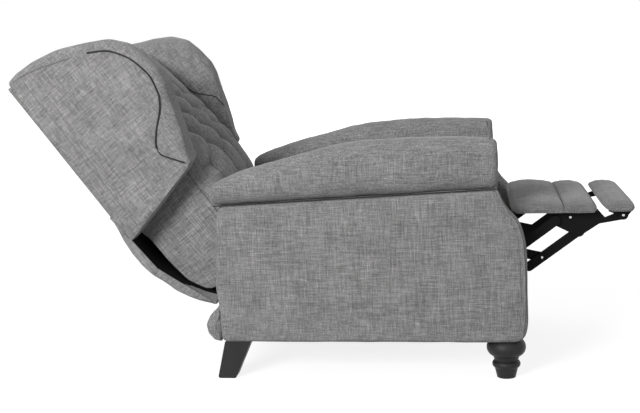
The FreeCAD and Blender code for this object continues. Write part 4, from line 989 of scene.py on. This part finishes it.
SEAT = ((-0.180, 0.367), (0.430, 0.367), (0.452, 0.376), (0.455, 0.410), (0.440, 0.436),
        (0.380, 0.448), (0.200, 0.454), (0.0, 0.451), (-0.120, 0.444), (-0.172, 0.428),
        (-0.182, 0.400))
SEAT_HALF = 0.238
SEAT_EDGE = 0.030
SEAT_SWELL = 0.013
SEAT_HELD_BELOW = 0.369
SEAT_WELT = ((-0.16, -0.243), (0.10, -0.2445), (0.40, -0.243), (0.452, -0.222), (0.4595, 0.0),
             (0.452, 0.222), (0.40, 0.243), (0.10, 0.2445), (-0.16, 0.243))
SEAT_WELT_LEVELS = (0.425, 0.379)
SEAT_WELT_RADIUS = 0.003


def seat_cushion():
    """The seat cushion, filled out, with a welt round its top and one round its bottom."""
    outline = resampled(SEAT, 200, 4)
    seat = padded_block("seat_pad", chair_place, outline, -SEAT_HALF, SEAT_HALF, SEAT_EDGE, 0.0,
                        "linen", 30)
    swell(seat, SEAT_SWELL, lambda spot: spot.z < SEAT_HELD_BELOW)
    settle(seat, "chassis", ["seat_cushion"])
    for level in SEAT_WELT_LEVELS:
        spots = [Vector((x, y, level)) for x, y in SEAT_WELT]
        settle(tube("seat_welt_%d" % (level * 1000), snapped(seat, spots, 8), SEAT_WELT_RADIUS,
                    "linen"), "chassis")


REAR_PAD = ((0.4745, 0.4035), (0.6020, 0.4032), (0.6030, 0.4060), (0.6030, 0.4185),
            (0.5990, 0.4235), (0.5720, 0.4300), (0.5400, 0.4330), (0.5100, 0.4315),
            (0.4830, 0.4250), (0.4715, 0.4130))
FRONT_PAD = ((0.6040, 0.4032), (0.6800, 0.4032), (0.6865, 0.4070), (0.6860, 0.4140),
             (0.6760, 0.4225), (0.6520, 0.4285), (0.6270, 0.4280), (0.6072, 0.4238),
             (0.6032, 0.4185), (0.6032, 0.4060))
FLIPPER_PAD = ((0.7090, 0.4060), (0.7690, 0.4056), (0.7768, 0.4090), (0.7779, 0.4150),
               (0.7745, 0.4215), (0.7640, 0.4262), (0.7450, 0.4282), (0.7240, 0.4262),
               (0.7060, 0.4190), (0.7015, 0.4120))
PAD_HALF = 0.2495
# where the first two pads meet; neither is drawn in at that side
PAD_SEAM, PAD_SEAM_REACH = 0.603, 0.002
PAD_STATIONS = 60
PAD_END = 0.011
PAD_END_POWER, PAD_SIDE_POWER = 7, 12
PAD_END_SHARE = 0.22
PAD_WAVE = 0.0010
PAD_STITCH_UP, PAD_STITCH_RADIUS = 0.0052, 0.0008


def pad_ring(outline, across, share):
    """The pad's side view at a place, lower and shorter towards its sewn ends."""
    height = math.sqrt(clamped(1 - abs(share) ** PAD_END_POWER))
    low, top = min(spot.y for spot in outline), max(spot.y for spot in outline)
    rear, front = min(spot.x for spot in outline), max(spot.x for spot in outline)
    middle, half = (rear + front) / 2, (front - rear) / 2
    if abs(front - PAD_SEAM) < PAD_SEAM_REACH:
        middle, half = front, half * 2
    elif abs(rear - PAD_SEAM) < PAD_SEAM_REACH:
        middle, half = rear, half * 2
    ring = []
    for spot in outline:
        reach = 1 - PAD_END / half * abs(share) ** PAD_SIDE_POWER
        up = low + (spot.y - low) * (PAD_END_SHARE + (1 - PAD_END_SHARE) * height)
        wave = PAD_WAVE * noise.noise(Vector((spot.x * 30, across * 22, 3.0)))
        lift = (spot.y - low) / (top - low)
        ring.append(Vector((middle + (spot.x - middle) * reach, across, up + wave * lift)))
    return ring


def footrest_pad(name, node, outline, body):
    """A pad of the footrest, closed at both ends, with the stitching round its foot."""
    shape = resampled(anticlockwise(outline), 170, 2)
    rings = []
    for index in range(PAD_STATIONS + 1):
        share = math.sin(math.pi / 2 * (2 * index / PAD_STATIONS - 1))
        rings.append(pad_ring(shape, PAD_HALF * share, share))
    rings = (drawn_in(rings[0], (0.3, 0.6, 0.85)) + rings
             + drawn_in(rings[-1], (0.85, 0.6, 0.3)))
    pad = from_rings(name, rings, "linen_foot_painted_shade")
    settle(pad, body, [node])
    low = min(spot.y for spot in shape) + PAD_STITCH_UP
    rear, front = min(spot.x for spot in shape), max(spot.x for spot in shape)
    line = []
    for x, y in ((rear, -0.9), (rear + PAD_END, -1), (front - PAD_END, -1), (front, -0.9),
                 (front, 0.9), (front - PAD_END, 1), (rear + PAD_END, 1), (rear, 0.9)):
        line.append(Vector((x, y * PAD_HALF, low)))
    spots = snapped(pad, line + line[:1], 8)[:-1]
    settle(tube(name + "_stitch", spots, PAD_STITCH_RADIUS, "cord", closed=True), body)


# the CAD nodes that stay

# the finish of each slot of the record
SLOT_FINISHES = {"grey_linen": "linen", "black_steel": "steel", "frame_wood": "wood",
                 "dark_wood": "foot", "dust_cloth": "dust", "spring_steel": "spring",
                 "motor_paint": "motor", "black_plastic": "plastic",
                 "button_plastic": "button"}
# the boards of the footrest, which are wrapped in black cloth
BLACK_CLOTH_NODES = ("ottoman_board", "flipper_board")


def dress_frame():
    """Give every CAD node its material by the record's slot."""
    for part in frame["record"]["subparts"]:
        item = frame["nodes"][part["node"]]
        item.data.materials.clear()
        finish = SLOT_FINISHES[part["material_slot"]]
        if part["node"] in BLACK_CLOTH_NODES:
            finish = "dust"
        item.data.materials.append(MATERIALS[finish])


# label, body, and the place along, across and up
RIVET_CAPS = (("elbow", "lower_inner_links", 0.549, 0.2145, 0.285),
              ("flipper", "ottoman", 0.748, 0.2255, 0.393),
              ("plate", "ottoman", 0.619, 0.2190, 0.388))
RIVET_CAP_RADIUS = 0.0034
RIVET_CAP_SHAPE = Matrix.Diagonal((1, 0.4, 1, 1))


def rivet_caps():
    """Small bright caps in the middle of the rivets that show at the footrest."""
    for label, body, along, across, up in RIVET_CAPS:
        shapes = [Matrix.Translation(Vector((along, sign * across, up))) @ RIVET_CAP_SHAPE
                  for sign in SIDES.values()]
        item = sphere_group(label + "_rivet_caps", shapes, RIVET_CAP_RADIUS, 24, 16, "rivet")
        settle(item, body)


# the studio

WORLD_LIGHT = 0.35
# name, place, what it is aimed at, size, power
LAMPS = (
    ("key", (-1.7, -4.1, 2.05), (-0.1, 0, 0.4), 1.6, 176),
    ("fill", (3.0, -3.6, 1.6), (0, 0, 0.4), 2.6, 12),
    ("top", (-0.5, 0.8, 4.2), (-0.4, 0, 0.4), 3.0, 22),
)
FLOOR_HALF = 15.0
FLOOR_GREY = 0.32
# the floor's own glow, by the distance from the middle
FLOOR_GLOW = (("From Min", 1.2), ("From Max", 6.0), ("To Min", 0.84), ("To Max", 1.3))


def seen_rays(nodes, links):
    """1 for the rays that show a surface, 0 for those by which it lights the others."""
    path = nodes.new("ShaderNodeLightPath")
    seen = math_node(nodes, links, "MAXIMUM", path.outputs["Is Camera Ray"],
                     path.outputs["Is Glossy Ray"])
    return math_node(nodes, links, "MAXIMUM", seen, path.outputs["Is Transmission Ray"])


def floor_material():
    """White where it is seen, whiter far away, with the object's soft shadow kept."""
    material, nodes, links, shader = new_material("floor")
    shader.inputs["Base Color"].default_value = (FLOOR_GREY, FLOOR_GREY, FLOOR_GREY, 1)
    shader.inputs["Roughness"].default_value = 0.9
    shader.inputs["Specular IOR Level"].default_value = 0.1
    place = nodes.new("ShaderNodeTexCoord")
    distance = nodes.new("ShaderNodeVectorMath")
    distance.operation = "LENGTH"
    links.new(place.outputs["Object"], distance.inputs[0])
    rising = nodes.new("ShaderNodeMapRange")
    for label, value in FLOOR_GLOW:
        rising.inputs[label].default_value = value
    links.new(distance.outputs["Value"], rising.inputs["Value"])
    glow = math_node(nodes, links, "MULTIPLY", seen_rays(nodes, links), rising.outputs["Result"])
    links.new(glow, shader.inputs["Emission Strength"])
    shader.inputs["Emission Color"].default_value = (1, 1, 1, 1)
    return material


def make_world():
    """White where it is seen, and a weaker light on the object."""
    world = bpy.data.worlds.new("studio")
    bpy.context.scene.world = world
    world.use_nodes = True
    nodes, links = world.node_tree.nodes, world.node_tree.links
    shade = nodes["Background"]
    shade.inputs["Color"].default_value = (1, 1, 1, 1)
    strength = math_node(nodes, links, "MULTIPLY", seen_rays(nodes, links), 1.0 - WORLD_LIGHT)
    links.new(math_node(nodes, links, "ADD", strength, WORLD_LIGHT), shade.inputs["Strength"])


def make_studio():
    mesh = bpy.data.meshes.new("floor")
    corners = [(-FLOOR_HALF, -FLOOR_HALF, 0), (FLOOR_HALF, -FLOOR_HALF, 0),
               (FLOOR_HALF, FLOOR_HALF, 0), (-FLOOR_HALF, FLOOR_HALF, 0)]
    mesh.from_pydata(corners, [], [(0, 1, 2, 3)])
    floor = bpy.data.objects.new("floor", mesh)
    bpy.context.scene.collection.objects.link(floor)
    floor.data.materials.append(floor_material())
    make_world()
    for name, spot, aim, size, power in LAMPS:
        light = bpy.data.lights.new(name, "AREA")
        light.shape = "DISK"
        light.size = size
        light.energy = power
        lamp = bpy.data.objects.new(name, light)
        bpy.context.scene.collection.objects.link(lamp)
        lamp.location = spot
        lamp.rotation_euler = (Vector(aim) - Vector(spot)).to_track_quat("-Z", "Y").to_euler()


def main():
    bpy.context.scene.view_settings.view_transform = "Standard"
    make_camera()
    dress_frame()
    for name, sign in SIDES.items():
        side_panel(name, sign)
        arm_roll(name, sign)
        wing(name, sign)
    inner_covers()
    dust_cover()
    rear_rail()
    back_core()
    rear_flap()
    back_cushion()
    seat_cushion()
    footrest_pad("footrest_rear_cushion", "ottoman_rear_pad", REAR_PAD, "ottoman")
    footrest_pad("footrest_front_cushion", "ottoman_front_pad", FRONT_PAD, "ottoman")
    footrest_pad("flipper_cushion", "flipper_pad", FLIPPER_PAD, "flipper")
    rivet_caps()
    make_studio()


main()
